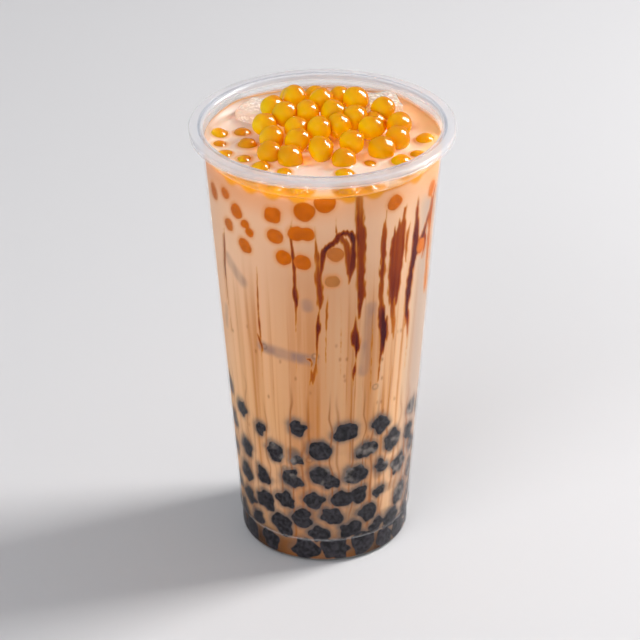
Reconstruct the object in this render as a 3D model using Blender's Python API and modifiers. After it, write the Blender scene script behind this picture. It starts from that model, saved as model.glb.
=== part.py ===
"""Bubble tea in a clear plastic cup, with black pearls below and golden pearls and ice on top.

The cup is a thin turned shell with a turned-down lip and a small ledge above its rounded foot.
Black pearls fill its lowest third, pressed against the wall. Milk tea fills the rest, and
golden pearls float in it, heaped up behind the middle between two ice cubes.
The origin is the centre of the cup's foot, +Z is up, and -Y is the front. Lengths are in
millimetres here and are turned to metres as each mesh is made.
"""

import math
import random

import bmesh
import bpy
from mathutils import Euler, Matrix, Vector

MM = 0.001
GAP = 0.3
TURN_STEPS = 52
BLACK_FACE_SHARE = 0.48
GOLD_FACE_SHARE = 0.52

# Cup
CUP_HEIGHT = 166.0
RIM_RADIUS = 47.5
LIP_INNER_RADIUS = 42.2
LIP_THICKNESS = 1.3
LIP_BEAD = 0.8
LIP_EDGE_ROUND = 0.6
LIP_NECK_DROP = 2.4
LIP_WEB = 0.7
SKIRT_HEIGHT = 2.8
SKIRT_THICKNESS = 0.8
WALL = 0.8
LEDGE_HEIGHT = 10.8
LEDGE_RADIUS = 32.0
LEDGE_STEP = 0.6
WALL_TOP_RADIUS = 43.4
FOOT_RADIUS = 28.8
FOOT_CORNER_HEIGHT = 3.2
FOOT_RING_WIDTH = 4.5
FOOT_RECESS = 1.2
FLOOR_THICKNESS = 1.0
FLOOR_CORNER = 3.6
FLOOR_TOP = FOOT_RECESS + FLOOR_THICKNESS

# Contents
TEA_LEVEL = 158.0
BLACK_HEAP_TOP = 66.0
BLACK_RADIUS = 4.2
BLACK_PRESS = 0.7
BLACK_DRIFT = 1.2
BLACK_PITCH_DEG = 23.0
CORE_INSET = 3.0
GOLD_RADIUS = 4.45
FLOATER_RADIUS = 3.9
WALL_FLOATER_PLACE = 37.4
ICE_EDGE_ROUND = 1.4

# Height of each ring of black pearls, and the degrees round from the front of those facing it
BLACK_RINGS = (
    (6.9, (-67, -42, -14, 7, 27, 47)),
    (14.0, (-53, -30, -3, 17, 37, 60)),
    (21.5, (-66, -44, -15, 4, 30, 56)),
    (29.0, (-54, -26, -8, 17, 38, 66)),
    (38.5, (-64, -43, -22, 0, 21, 39, 57)),
    (48.5, (-57, -33, -17, -2, 28, 48, 67)),
    (59.0, (-76, -59, -42, -16, 13, 36, 67)),
)

# Golden pearls of the heap, in rows from the front: across, depth, and height above the tea
HEAPED_PEARLS = (
    ((7.4, -17.0, 1.7), (-11.4, -16.1, 2.1)),
    ((-18.4, -12.5, 2.3), (-0.6, -12.7, 4.0), (20.8, -10.4, 2.7)),
    ((-8.8, -7.9, 5.0), (10.3, -9.1, 4.8), (26.6, -2.7, 3.3)),
    ((-17.9, -4.7, 4.5), (-1.1, -1.4, 6.4), (17.2, 0.3, 5.8)),
    ((-20.4, 3.6, 5.9), (-9.1, 0.6, 5.8), (5.7, 1.8, 6.3), (27.3, 5.1, 4.8)),
    ((-13.3, 7.6, 8.2), (-5.3, 8.1, 8.5), (3.9, 8.7, 8.5), (11.6, 6.8, 7.0), (18.9, 8.7, 3.7)),
    ((-17.6, 15.2, 7.0), (-0.2, 15.4, 9.9), (12.0, 15.6, 10.2), (21.8, 12.6, 7.6)),
    ((-9.8, 18.6, 9.7), (6.4, 21.5, 8.0)),
    ((-11.2, 25.2, 5.8), (-2.4, 25.4, 6.2), (12.6, 24.6, 5.2)),
)
HEAP_CORE_CENTRE = (3.5, 3.0)
HEAP_CORE_SEMI = (26.0, 25.5)
HEAP_CORE_FRONT = 1.6
HEAP_CORE_BACK = 10.0

# Floating pearls: across, depth, and radius of the part that shows above the tea
FLOATERS = (
    (-36.9, 8.0, 3.5),
    (-28.8, 9.0, 3.4),
    (-36.6, -0.2, 2.8),
    (-34.4, -8.2, 3.0),
    (-27.6, -12.8, 3.0),
    (-26.6, -2.0, 3.85),
    (-21.5, -20.0, 3.7),
    (-13.3, -23.6, 3.0),
    (7.6, -25.6, 3.6),
    (16.6, -16.6, 2.3),
    (27.5, -15.9, 3.8),
    (33.6, -9.4, 3.0),
    (36.5, 1.2, 3.8),
)
# Pearls that float against the wall: degrees round from the front, and radius that shows
WALL_FLOATERS = ((-50, 2.5), (-37.5, 2.8), (-25, 3.2), (-12, 3.7), (13, 3.7), (25.5, 2.8), (51, 2.5))

# Ice cubes: centre, edge lengths, and tilt in degrees
ICE = {
    "ice_left": ((-20.0, 23.4, 157.2), (13.0, 13.0, 12.0), (5.0, -3.0, -38.0)),
    "ice_right": ((21.0, 24.2, 158.6), (12.5, 11.5, 12.5), (7.0, 6.0, 24.0)),
}

COLOURS = {
    "clear_plastic": ((0.93, 0.94, 0.95, 1.0), 0.08),
    "milk_tea": ((0.70, 0.42, 0.24, 1.0), 0.35),
    "black_tapioca": ((0.024, 0.023, 0.026, 1.0), 0.25),
    "golden_tapioca": ((0.86, 0.42, 0.01, 1.0), 0.15),
    "ice": ((0.90, 0.86, 0.82, 1.0), 0.12),
}


def clear_scene():
    """Remove every object that the scene starts with."""
    for obj in list(bpy.data.objects):
        bpy.data.objects.remove(obj, do_unlink=True)


def new_collection(name):
    """Make a collection under the scene's own."""
    collection = bpy.data.collections.new(name)
    bpy.context.scene.collection.children.link(collection)
    return collection


def make_material(name):
    """Make the Principled material that COLOURS describes."""
    colour, roughness = COLOURS[name]
    material = bpy.data.materials.new(name)
    material.use_nodes = True
    shader = material.node_tree.nodes["Principled BSDF"]
    shader.inputs["Base Color"].default_value = colour
    shader.inputs["Roughness"].default_value = roughness
    shader.inputs["Metallic"].default_value = 0.0
    return material


def add_object(name, mesh, collection, material=None, smooth=True):
    """Link a mesh as an object of that name, dressed and shaded."""
    if smooth:
        mesh.shade_smooth()
        mesh.set_sharp_from_angle(angle=math.radians(40))
    if material:
        mesh.materials.append(material)
    obj = bpy.data.objects.new(name, mesh)
    collection.objects.link(obj)
    return obj


def freeze(obj):
    """Put the object's evaluated shape in its mesh and drop its modifiers."""
    bpy.context.view_layer.update()
    evaluated = obj.evaluated_get(bpy.context.evaluated_depsgraph_get())
    mesh = bpy.data.meshes.new_from_object(evaluated)
    obj.modifiers.clear()
    obj.data = mesh
    return obj


def remove_all(objects):
    """Remove helper objects that a Boolean has used up."""
    for obj in list(objects):
        bpy.data.objects.remove(obj, do_unlink=True)


def wall_radius(height):
    """Outer radius of the cup's wall above the ledge."""
    share = (height - LEDGE_HEIGHT) / (CUP_HEIGHT - LEDGE_HEIGHT)
    return LEDGE_RADIUS + (WALL_TOP_RADIUS - LEDGE_RADIUS) * share


def inner_radius(height):
    """Inner radius of the cup at a height, down to its rounded floor corner."""
    if height >= LEDGE_HEIGHT:
        return wall_radius(height) - WALL
    below_ledge = LEDGE_RADIUS - LEDGE_STEP - WALL
    rise = height - FLOOR_TOP
    if rise >= FLOOR_CORNER:
        return below_ledge
    drop = FLOOR_CORNER - max(rise, 0.0)
    return below_ledge - FLOOR_CORNER + math.sqrt(FLOOR_CORNER**2 - drop**2)


def arc(centre, radii, start_deg, end_deg, segments):
    """Points of an elliptical arc in the profile plane, ends included."""
    points = []
    for i in range(segments + 1):
        angle = math.radians(start_deg + (end_deg - start_deg) * i / segments)
        points.append((centre[0] + radii[0] * math.cos(angle), centre[1] + radii[1] * math.sin(angle)))
    return points


def turned(name, profile, collection, material, steps=TURN_STEPS):
    """Turn a profile of (radius, height) points that runs outwards, then down its outer side."""
    mesh = bpy.data.meshes.new(name)
    verts = [(r * MM, 0.0, z * MM) for r, z in profile]
    mesh.from_pydata(verts, [(i, i + 1) for i in range(len(verts) - 1)], [])
    obj = add_object(name, mesh, collection, material, smooth=False)
    screw = obj.modifiers.new("Turn", "SCREW")
    screw.axis = "Z"
    screw.angle = 2 * math.pi
    screw.steps = steps
    screw.render_steps = steps
    screw.use_merge_vertices = True
    screw.merge_threshold = 0.00001
    screw.use_smooth_shade = True
    return obj


def cup_profile():
    """Closed section of the cup: up the inside, over the lip, and down the outside."""
    below_ledge = LEDGE_RADIUS - LEDGE_STEP
    corner_centre = (below_ledge - WALL - FLOOR_CORNER, FLOOR_TOP + FLOOR_CORNER)
    inside = [(0.0, FLOOR_TOP)] + arc(corner_centre, (FLOOR_CORNER, FLOOR_CORNER), -90, 0, 3)
    inside += [(below_ledge - WALL, LEDGE_HEIGHT - LEDGE_STEP), (LEDGE_RADIUS - WALL, LEDGE_HEIGHT)]
    neck = CUP_HEIGHT - LIP_NECK_DROP
    inside.append((inner_radius(neck), neck))
    bead_centre = (LIP_INNER_RADIUS + LIP_BEAD, CUP_HEIGHT - LIP_BEAD)
    edge_centre = (RIM_RADIUS - LIP_EDGE_ROUND, CUP_HEIGHT - LIP_EDGE_ROUND)
    lip = arc(bead_centre, (LIP_BEAD, LIP_BEAD), 180, 90, 2)
    lip += arc(edge_centre, (LIP_EDGE_ROUND, LIP_EDGE_ROUND), 90, 0, 2)
    hem = CUP_HEIGHT - SKIRT_HEIGHT
    underside = CUP_HEIGHT - LIP_THICKNESS
    lip += [(RIM_RADIUS, hem), (RIM_RADIUS - SKIRT_THICKNESS, hem)]
    lip += [(RIM_RADIUS - SKIRT_THICKNESS, underside), (WALL_TOP_RADIUS + LIP_WEB, underside)]
    outside = [(wall_radius(underside - LIP_WEB), underside - LIP_WEB)]
    outside += [(LEDGE_RADIUS, LEDGE_HEIGHT), (below_ledge, LEDGE_HEIGHT - LEDGE_STEP)]
    corner = below_ledge - FOOT_RADIUS
    outside += arc((FOOT_RADIUS, FOOT_CORNER_HEIGHT), (corner, FOOT_CORNER_HEIGHT), 0, -90, 4)
    ring = FOOT_RADIUS - FOOT_RING_WIDTH
    outside += [(ring, 0.0), (ring - FOOT_RECESS, FOOT_RECESS), (0.0, FOOT_RECESS)]
    return inside + lip + outside


def make_cup(collection):
    """The moulded cup in one piece."""
    return turned("cup", cup_profile(), collection, make_material("clear_plastic"))


def sphere(radius, centre, segments=0):
    """A small ball as bmesh, of even triangles, or of rings where segments is given."""
    bm = bmesh.new()
    if segments:
        bmesh.ops.create_uvsphere(bm, u_segments=segments, v_segments=segments * 2 // 3, radius=radius)
    else:
        bmesh.ops.create_icosphere(bm, subdivisions=2, radius=radius)
    bmesh.ops.translate(bm, vec=centre, verts=bm.verts)
    return bm


def uneven_ball(radius, centre, uneven, rng, segments=0):
    """A ball squashed a little along a random direction, as pearls are."""
    bm = sphere(radius, (0.0, 0.0, 0.0), segments)
    bmesh.ops.scale(bm, vec=[rng.uniform(1 - uneven, 1 + uneven) for _ in range(3)], verts=bm.verts)
    turn = Euler([rng.uniform(0, math.tau) for _ in range(3)]).to_matrix().to_4x4()
    bmesh.ops.transform(bm, matrix=Matrix.Translation(centre) @ turn, verts=bm.verts)
    return bm


def mesh_from(bm, name):
    """Scale a bmesh in millimetres to metres and make a mesh of it."""
    bmesh.ops.scale(bm, vec=(MM, MM, MM), verts=bm.verts)
    mesh = bpy.data.meshes.new(name)
    bm.to_mesh(mesh)
    bm.free()
    return mesh


def press_to_wall(bm, clearance):
    """Flatten a ball where it would pass the cup's inner wall or its floor."""
    for vert in bm.verts:
        vert.co.z = max(vert.co.z, FLOOR_TOP + clearance)
        limit = inner_radius(vert.co.z) - clearance
        reach = math.hypot(vert.co.x, vert.co.y)
        if reach > limit:
            vert.co.x *= limit / reach
            vert.co.y *= limit / reach


def fuse(base, pieces, solver="EXACT"):
    """Union a base with every object of a collection, then remove that collection."""
    union = base.modifiers.new("Fuse", "BOOLEAN")
    union.operation = "UNION"
    union.operand_type = "COLLECTION"
    union.collection = pieces
    union.solver = solver
    freeze(base)
    remove_all(pieces.objects)
    bpy.data.collections.remove(pieces)
    return base


def cut(base, cutter, solver="EXACT"):
    """Cut one object out of another and keep the cutter."""
    difference = base.modifiers.new("Cut", "BOOLEAN")
    difference.operation = "DIFFERENCE"
    difference.object = cutter
    difference.solver = solver
    return freeze(base)


def thin_out(obj, share):
    """Keep about this share of a fused piece's triangles."""
    decimate = obj.modifiers.new("Thin out", "DECIMATE")
    decimate.ratio = share
    decimate.use_collapse_triangulate = True
    return freeze(obj)


def finish_mesh(obj, material):
    """Give a fused piece its one material and its shading."""
    obj.data.materials.clear()
    obj.data.materials.append(material)
    obj.data.shade_smooth()
    obj.data.set_sharp_from_angle(angle=math.radians(40))


def ring_places(shown):
    """Degrees round the wall of a ring's pearls: those facing the front, then evenly behind."""
    gap = 360.0 - (shown[-1] - shown[0])
    count = max(round(gap / BLACK_PITCH_DEG), 1)
    return list(shown) + [shown[-1] + gap * i / count for i in range(1, count)]


def wall_point(degrees, radius, height):
    """Point at an angle round from the front, positive towards +X."""
    angle = math.radians(degrees)
    return Vector((radius * math.sin(angle), -radius * math.cos(angle), height))


def make_black_pearls(collection):
    """The heap of black pearls: a core that fills the cup, and pearls pressed on its wall."""
    rng = random.Random(7)
    bottom = FLOOR_TOP + GAP
    heights = [bottom, bottom + 1.0, bottom + FLOOR_CORNER, LEDGE_HEIGHT, BLACK_HEAP_TOP]
    side = [(inner_radius(z) - CORE_INSET, z) for z in heights]
    profile = [(0.0, heights[-1])] + side[::-1] + [(0.0, bottom)]
    core = freeze(turned("black_pearls", profile, collection, None, steps=32))
    pieces = new_collection("black_pearl_pieces")
    for height, shown in BLACK_RINGS:
        for degrees in ring_places(shown):
            level = max(height + rng.uniform(-BLACK_DRIFT, BLACK_DRIFT), FLOOR_TOP + BLACK_RADIUS)
            place = inner_radius(level) - GAP - BLACK_RADIUS + BLACK_PRESS
            ball = uneven_ball(BLACK_RADIUS, wall_point(degrees, place, level), 0.07, rng)
            press_to_wall(ball, 2 * GAP)
            add_object("black", mesh_from(ball, "black"), pieces, smooth=False)
    fuse(core, pieces)
    thin_out(core, BLACK_FACE_SHARE)
    finish_mesh(core, make_material("black_tapioca"))
    return core


def heap_core():
    """The low mound under the heaped pearls, higher towards the back."""
    bm = sphere(1.0, (0.0, 0.0, 0.0), segments=18)
    for vert in bm.verts:
        height = HEAP_CORE_FRONT + (HEAP_CORE_BACK - HEAP_CORE_FRONT) * (1 + vert.co.y) / 2
        vert.co.x = HEAP_CORE_CENTRE[0] + vert.co.x * HEAP_CORE_SEMI[0]
        vert.co.y = HEAP_CORE_CENTRE[1] + vert.co.y * HEAP_CORE_SEMI[1]
        vert.co.z = TEA_LEVEL + vert.co.z * height
    return bm


def ice_body(centre, edges, tilt_deg, grow):
    """An ice cube as bmesh, larger by grow on every side."""
    bm = bmesh.new()
    bmesh.ops.create_cube(bm, size=1.0)
    bmesh.ops.scale(bm, vec=[edge + 2 * grow for edge in edges], verts=bm.verts)
    bmesh.ops.bevel(
        bm, geom=list(bm.edges), offset=ICE_EDGE_ROUND + grow / 2, segments=1, profile=0.5, affect="EDGES"
    )
    turn = Euler([math.radians(angle) for angle in tilt_deg]).to_matrix().to_4x4()
    bmesh.ops.transform(bm, matrix=Matrix.Translation(centre) @ turn, verts=bm.verts)
    return bm


def make_cutter(name, bm, cutters):
    """Put a bmesh in the cutters' collection, hidden from renders and drawn as wire."""
    obj = add_object(name, mesh_from(bm, name), cutters, smooth=False)
    obj.hide_render = True
    obj.display_type = "WIRE"
    return obj


def make_golden_heap(collection, cutters, pockets, material):
    """The golden pearls heaped on the tea, fused to their mound and clear of the pockets."""
    rng = random.Random(11)
    heap = add_object("golden_heap", mesh_from(heap_core(), "golden_heap"), collection, smooth=False)
    pieces = new_collection("golden_pearl_pieces")
    for row in HEAPED_PEARLS:
        for across, depth, height in row:
            centre = (across, depth, TEA_LEVEL + height)
            ball = uneven_ball(GOLD_RADIUS, centre, 0.05, rng)
            add_object("gold", mesh_from(ball, "gold"), pieces, smooth=False)
    # EXACT leaves open edges where many of these pearls meet
    fuse(heap, pieces, solver="MANIFOLD")
    under = bmesh.new()
    bmesh.ops.create_cube(under, size=2 * RIM_RADIUS)
    bmesh.ops.translate(under, vec=(0.0, 0.0, TEA_LEVEL + GAP - RIM_RADIUS), verts=under.verts)
    cut(heap, make_cutter("heap_underside", under, cutters), solver="MANIFOLD")
    for pocket in pockets:
        cut(heap, pocket, solver="MANIFOLD")
    thin_out(heap, GOLD_FACE_SHARE)
    finish_mesh(heap, material)
    return heap


def floater_places():
    """Centre of every separate floating pearl, from the part of it that shows."""
    spots = [((x, y), shown) for x, y, shown in FLOATERS]
    for degrees, shown in WALL_FLOATERS:
        point = wall_point(degrees, WALL_FLOATER_PLACE, 0.0)
        spots.append(((point.x, point.y), shown))
    centres = []
    for (x, y), shown in spots:
        below = math.sqrt(FLOATER_RADIUS**2 - shown**2)
        centres.append(Vector((x, y, TEA_LEVEL - below)))
    return centres


def make_floaters(collection, centres, material):
    """The golden pearls that float on their own, one object each on a shared mesh."""
    mesh = mesh_from(sphere(FLOATER_RADIUS, (0.0, 0.0, 0.0)), "floating_pearl")
    mesh.shade_smooth()
    mesh.materials.append(material)
    for i, centre in enumerate(centres, start=1):
        pearl = bpy.data.objects.new(f"golden_pearl_{i:02d}", mesh)
        pearl.location = centre * MM
        collection.objects.link(pearl)


def make_ice(collection, cutters):
    """The two ice cubes, and a cutter a little larger than each."""
    material = make_material("ice")
    found = []
    for name, (centre, edges, tilt) in ICE.items():
        add_object(name, mesh_from(ice_body(centre, edges, tilt, 0.0), name), collection, material)
        found.append(make_cutter(f"{name}_pocket", ice_body(centre, edges, tilt, GAP), cutters))
    return found


def make_floater_pockets(cutters, centres):
    """One cutter a little larger than all the floating pearls."""
    balls = [sphere(FLOATER_RADIUS + GAP, centre) for centre in centres]
    pockets = make_cutter("floating_pearl_pockets", balls.pop(), cutters)
    others = new_collection("pocket_pieces")
    for ball in balls:
        make_cutter("pocket", ball, others)
    return fuse(pockets, others)


def make_milk_tea(collection, pockets):
    """The milk tea from the black heap up to its surface, cut round what floats in it."""
    bottom = BLACK_HEAP_TOP + GAP
    profile = [(0.0, TEA_LEVEL), (inner_radius(TEA_LEVEL) - GAP, TEA_LEVEL)]
    profile += [(inner_radius(bottom) - GAP, bottom), (0.0, bottom)]
    tea = freeze(turned("milk_tea", profile, collection, None))
    for pocket in pockets:
        cut(tea, pocket)
    finish_mesh(tea, make_material("milk_tea"))
    return tea


def main():
    """Build the whole drink in its cup."""
    clear_scene()
    parts = new_collection("bubble_tea")
    cutters = new_collection("bubble_tea_cutters")
    make_cup(parts)
    make_black_pearls(parts)
    golden = make_material("golden_tapioca")
    centres = floater_places()
    make_floaters(parts, centres, golden)
    pockets = make_ice(parts, cutters) + [make_floater_pockets(cutters, centres)]
    make_golden_heap(parts, cutters, pockets, golden)
    make_milk_tea(parts, pockets)


main()
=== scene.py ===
"""The looks of a bubble tea in its clear moulded cup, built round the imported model.

Every piece is modelled in millimetres in the model's own frame: +Z is up and -Y is the front.
A place on the cup's wall is given as degrees round from the front, positive towards +X, and a
height above the foot. The contents reach a little way into the plastic, so no air shows there.
"""

import logging
import math
from dataclasses import dataclass
from enum import Enum
from functools import cache

import bmesh
import bpy
import numpy as np
from mathutils import Euler, Matrix, Vector, kdtree, noise


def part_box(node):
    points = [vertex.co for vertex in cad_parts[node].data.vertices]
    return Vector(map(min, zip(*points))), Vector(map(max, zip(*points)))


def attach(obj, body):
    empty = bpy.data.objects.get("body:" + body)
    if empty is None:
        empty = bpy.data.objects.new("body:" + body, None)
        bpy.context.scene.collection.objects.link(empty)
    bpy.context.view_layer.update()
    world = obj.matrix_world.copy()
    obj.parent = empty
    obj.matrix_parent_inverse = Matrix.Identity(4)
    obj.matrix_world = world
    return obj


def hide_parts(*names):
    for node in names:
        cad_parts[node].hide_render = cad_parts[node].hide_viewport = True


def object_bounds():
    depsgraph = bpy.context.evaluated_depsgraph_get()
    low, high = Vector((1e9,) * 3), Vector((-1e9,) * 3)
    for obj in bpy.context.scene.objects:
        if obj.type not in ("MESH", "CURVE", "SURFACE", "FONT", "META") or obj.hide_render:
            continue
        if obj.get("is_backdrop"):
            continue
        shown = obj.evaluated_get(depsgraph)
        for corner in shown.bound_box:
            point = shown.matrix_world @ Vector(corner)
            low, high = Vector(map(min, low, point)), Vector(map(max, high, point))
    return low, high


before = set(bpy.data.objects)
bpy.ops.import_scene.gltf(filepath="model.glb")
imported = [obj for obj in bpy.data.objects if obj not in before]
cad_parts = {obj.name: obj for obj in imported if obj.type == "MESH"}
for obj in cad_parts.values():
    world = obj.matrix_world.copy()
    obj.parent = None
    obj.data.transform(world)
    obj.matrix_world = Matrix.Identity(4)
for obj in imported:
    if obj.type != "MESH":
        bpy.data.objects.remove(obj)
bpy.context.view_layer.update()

LOG = logging.getLogger("bubble_tea")
MM = 0.001
BODY = "root"

# The cup's height, and the height that its wall's noise spans, in millimetres
CUP_HEIGHT = 166.0
NOISE_HEIGHT = 170.0

# Millimetres for each degree of the wall, half way up and near the foot
DEGREE_MM = 0.66
LOW_DEGREE_MM = 0.6

Socket = bpy.types.NodeSocket
Stops = tuple[tuple[float, str], ...]


class Face(Enum):
    """Which side of the tea a piece shows."""

    WALL = "wall"
    SURFACE = "surface"


def linear(colour: str) -> tuple[float, float, float, float]:
    """Turn an sRGB hex colour to linear light.

    Args:
        colour: A hash sign and six hex digits.

    Returns:
        Red, green, blue and an alpha of 1.
    """
    parts = [int(colour[i : i + 2], 16) / 255 for i in (1, 3, 5)]
    light = [p / 12.92 if p <= 0.04045 else ((p + 0.055) / 1.055) ** 2.4 for p in parts]
    return (light[0], light[1], light[2], 1.0)


class Recipe:
    """A material while it is put together: its node tree and its Principled shader."""

    def __init__(self, name: str, **values: object) -> None:
        """Start a material.

        Args:
            name: The material's name.
            values: Constant inputs of its shader, with underscores for spaces.
        """
        self.material: bpy.types.Material = bpy.data.materials.new(name)
        self.material.use_nodes = True
        self.tree: bpy.types.NodeTree = self.material.node_tree
        self.shader: bpy.types.Node = self.tree.nodes["Principled BSDF"]
        self.dress(**values)

    def put(self, socket: Socket, value: object) -> None:
        """Set an input or link it.

        Args:
            socket: The input.
            value: A number, a hex colour, an output, or the name of numbers kept on the points.
        """
        if isinstance(value, str) and value.startswith("#"):
            value = linear(value)
        elif isinstance(value, str):
            value = self.node("Attribute", out="Fac", attribute_name=value)
        if isinstance(value, Socket):
            self.tree.links.new(value, socket)
        else:
            socket.default_value = value

    def node(
        self,
        kind: str,
        inputs: dict | None = None,
        out: int | str = 0,
        stops: Stops = (),
        **settings: object,
    ) -> Socket:
        """Add a node with its settings and its links.

        Args:
            kind: The node's type, as Blender names it after ShaderNode.
            inputs: What each input gets, by its name or number.
            out: The output that is used, by its name or number.
            stops: Places and hex colours of a colour ramp.
            settings: The node's own properties.

        Returns:
            That output.
        """
        made = self.tree.nodes.new(f"ShaderNode{kind}")
        for name, value in settings.items():
            setattr(made, name, value)
        if stops:
            ramp = made.color_ramp.elements
            while len(ramp) < len(stops):
                ramp.new(1.0)
            for element, (place, colour) in zip(ramp, stops):
                element.position = place
                element.color = linear(colour)
        for name, value in (inputs or {}).items():
            self.put(made.inputs[name], value)
        return made.outputs[out]

    def blend(self, share: Socket | str, under: Socket | str, over: str, most: float = 1.0) -> Socket:
        """Lay a colour over another, by a share that is first multiplied by the most."""
        share = self.node("Math", {0: share, 1: most}, operation="MULTIPLY", use_clamp=True)
        return self.node("Mix", {0: share, 6: under, 7: over}, 2, data_type="RGBA")

    def dress(self, **values: object) -> bpy.types.Material:
        """Set or link inputs of the shader.

        Args:
            values: What each input gets, by its name with underscores for spaces.

        Returns:
            The material.
        """
        for name, value in values.items():
            self.put(self.shader.inputs[name.replace("_", " ")], value)
        return self.material

    def let_through(self, share: Socket, tint: str) -> bpy.types.Material:
        """Let a share of the light pass straight through the material.

        Args:
            share: How much passes.
            tint: The colour that it takes on.

        Returns:
            The material.
        """
        clear = self.node("BsdfTransparent", {0: tint})
        both = self.node("MixShader", {0: share, 1: self.shader.outputs[0], 2: clear})
        self.put(self.tree.nodes["Material Output"].inputs["Surface"], both)
        return self.material


@dataclass(frozen=True)
class ClearPolypropylene:
    """Polypropylene injection moulded in a polished mould.

    The thin wall is glass-clear and glossy. The thick lip scatters light, so it looks milky, with
    a painted grey line of refraction where the wall bends out into it. The plastic is open to
    lamps, so that they light what is in the cup.
    """

    clear: str = "#FDFDFD"
    milky: str = "#DADADF"
    # A painted grey line of refraction where the wall bends out into the lip
    painted_refraction_line: str = "#98A2B2"
    ior: float = 1.49
    wall_rough: float = 0.02
    lip_rough: float = 0.12
    lip_clear: float = 0.2
    wall_open: float = 0.68
    lip_open: float = 0.5
    lamp_open: float = 0.93
    rim_radius: float = 47.5
    # How milky it is up the cup, as greys: a thin painted highlight line at the ledge, and all of the lip
    ledge_highlight_and_lip: Stops = (
        (0.0595, "#000000"),
        (0.0610, "#FFFFFF"),
        (0.0650, "#FFFFFF"),
        (0.0668, "#000000"),
        (0.9795, "#000000"),
        (0.9903, "#FFFFFF"),
    )

    def material(self) -> bpy.types.Material:
        """Make the finish.

        Returns:
            The material.
        """
        mix = Recipe("clear_polypropylene", IOR=self.ior, Specular_IOR_Level=0.2)
        place = mix.node("TexCoord", out="Object")
        height = mix.node("SeparateXYZ", {0: place}, "Z")
        height = mix.node("Math", {0: height, 1: CUP_HEIGHT * MM}, operation="DIVIDE")
        # Milky over the lip, and in a thin painted highlight line at the ledge
        lip = mix.node("ValToRGB", {0: height}, stops=self.ledge_highlight_and_lip)
        flat = mix.node("VectorMath", {0: place, 1: (1.0, 1.0, 0.0)}, operation="MULTIPLY")
        reach = mix.node("VectorMath", {0: flat}, "Value", operation="LENGTH")
        reach = mix.node("Math", {0: reach, 1: self.rim_radius * MM}, operation="DIVIDE")
        # A painted grey line of refraction across the lip, where the wall bends out into it
        across = ((0.906, self.milky), (0.918, self.painted_refraction_line), (0.926, self.painted_refraction_line), (0.938, self.milky))
        ring = mix.node("ValToRGB", {0: reach}, stops=across)
        mix.dress(
            Base_Color=mix.node("Mix", {0: lip, 6: self.clear, 7: ring}, 2, data_type="RGBA"),
            Roughness=mix.node("MapRange", {0: lip, "To Min": self.wall_rough, "To Max": self.lip_rough}),
            Transmission_Weight=mix.node("MapRange", {0: lip, "To Min": 1.0, "To Max": self.lip_clear}),
        )
        lamp = mix.node("LightPath", out="Is Shadow Ray")
        lamp = mix.node("Math", {0: lamp, 1: self.lamp_open}, operation="MULTIPLY")
        seen = mix.node("MapRange", {0: lip, "To Min": self.wall_open, "To Max": self.lip_open})
        return mix.let_through(mix.node("Math", {0: lamp, 1: seen}, operation="MAXIMUM"), "#FFFFFF")


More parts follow.
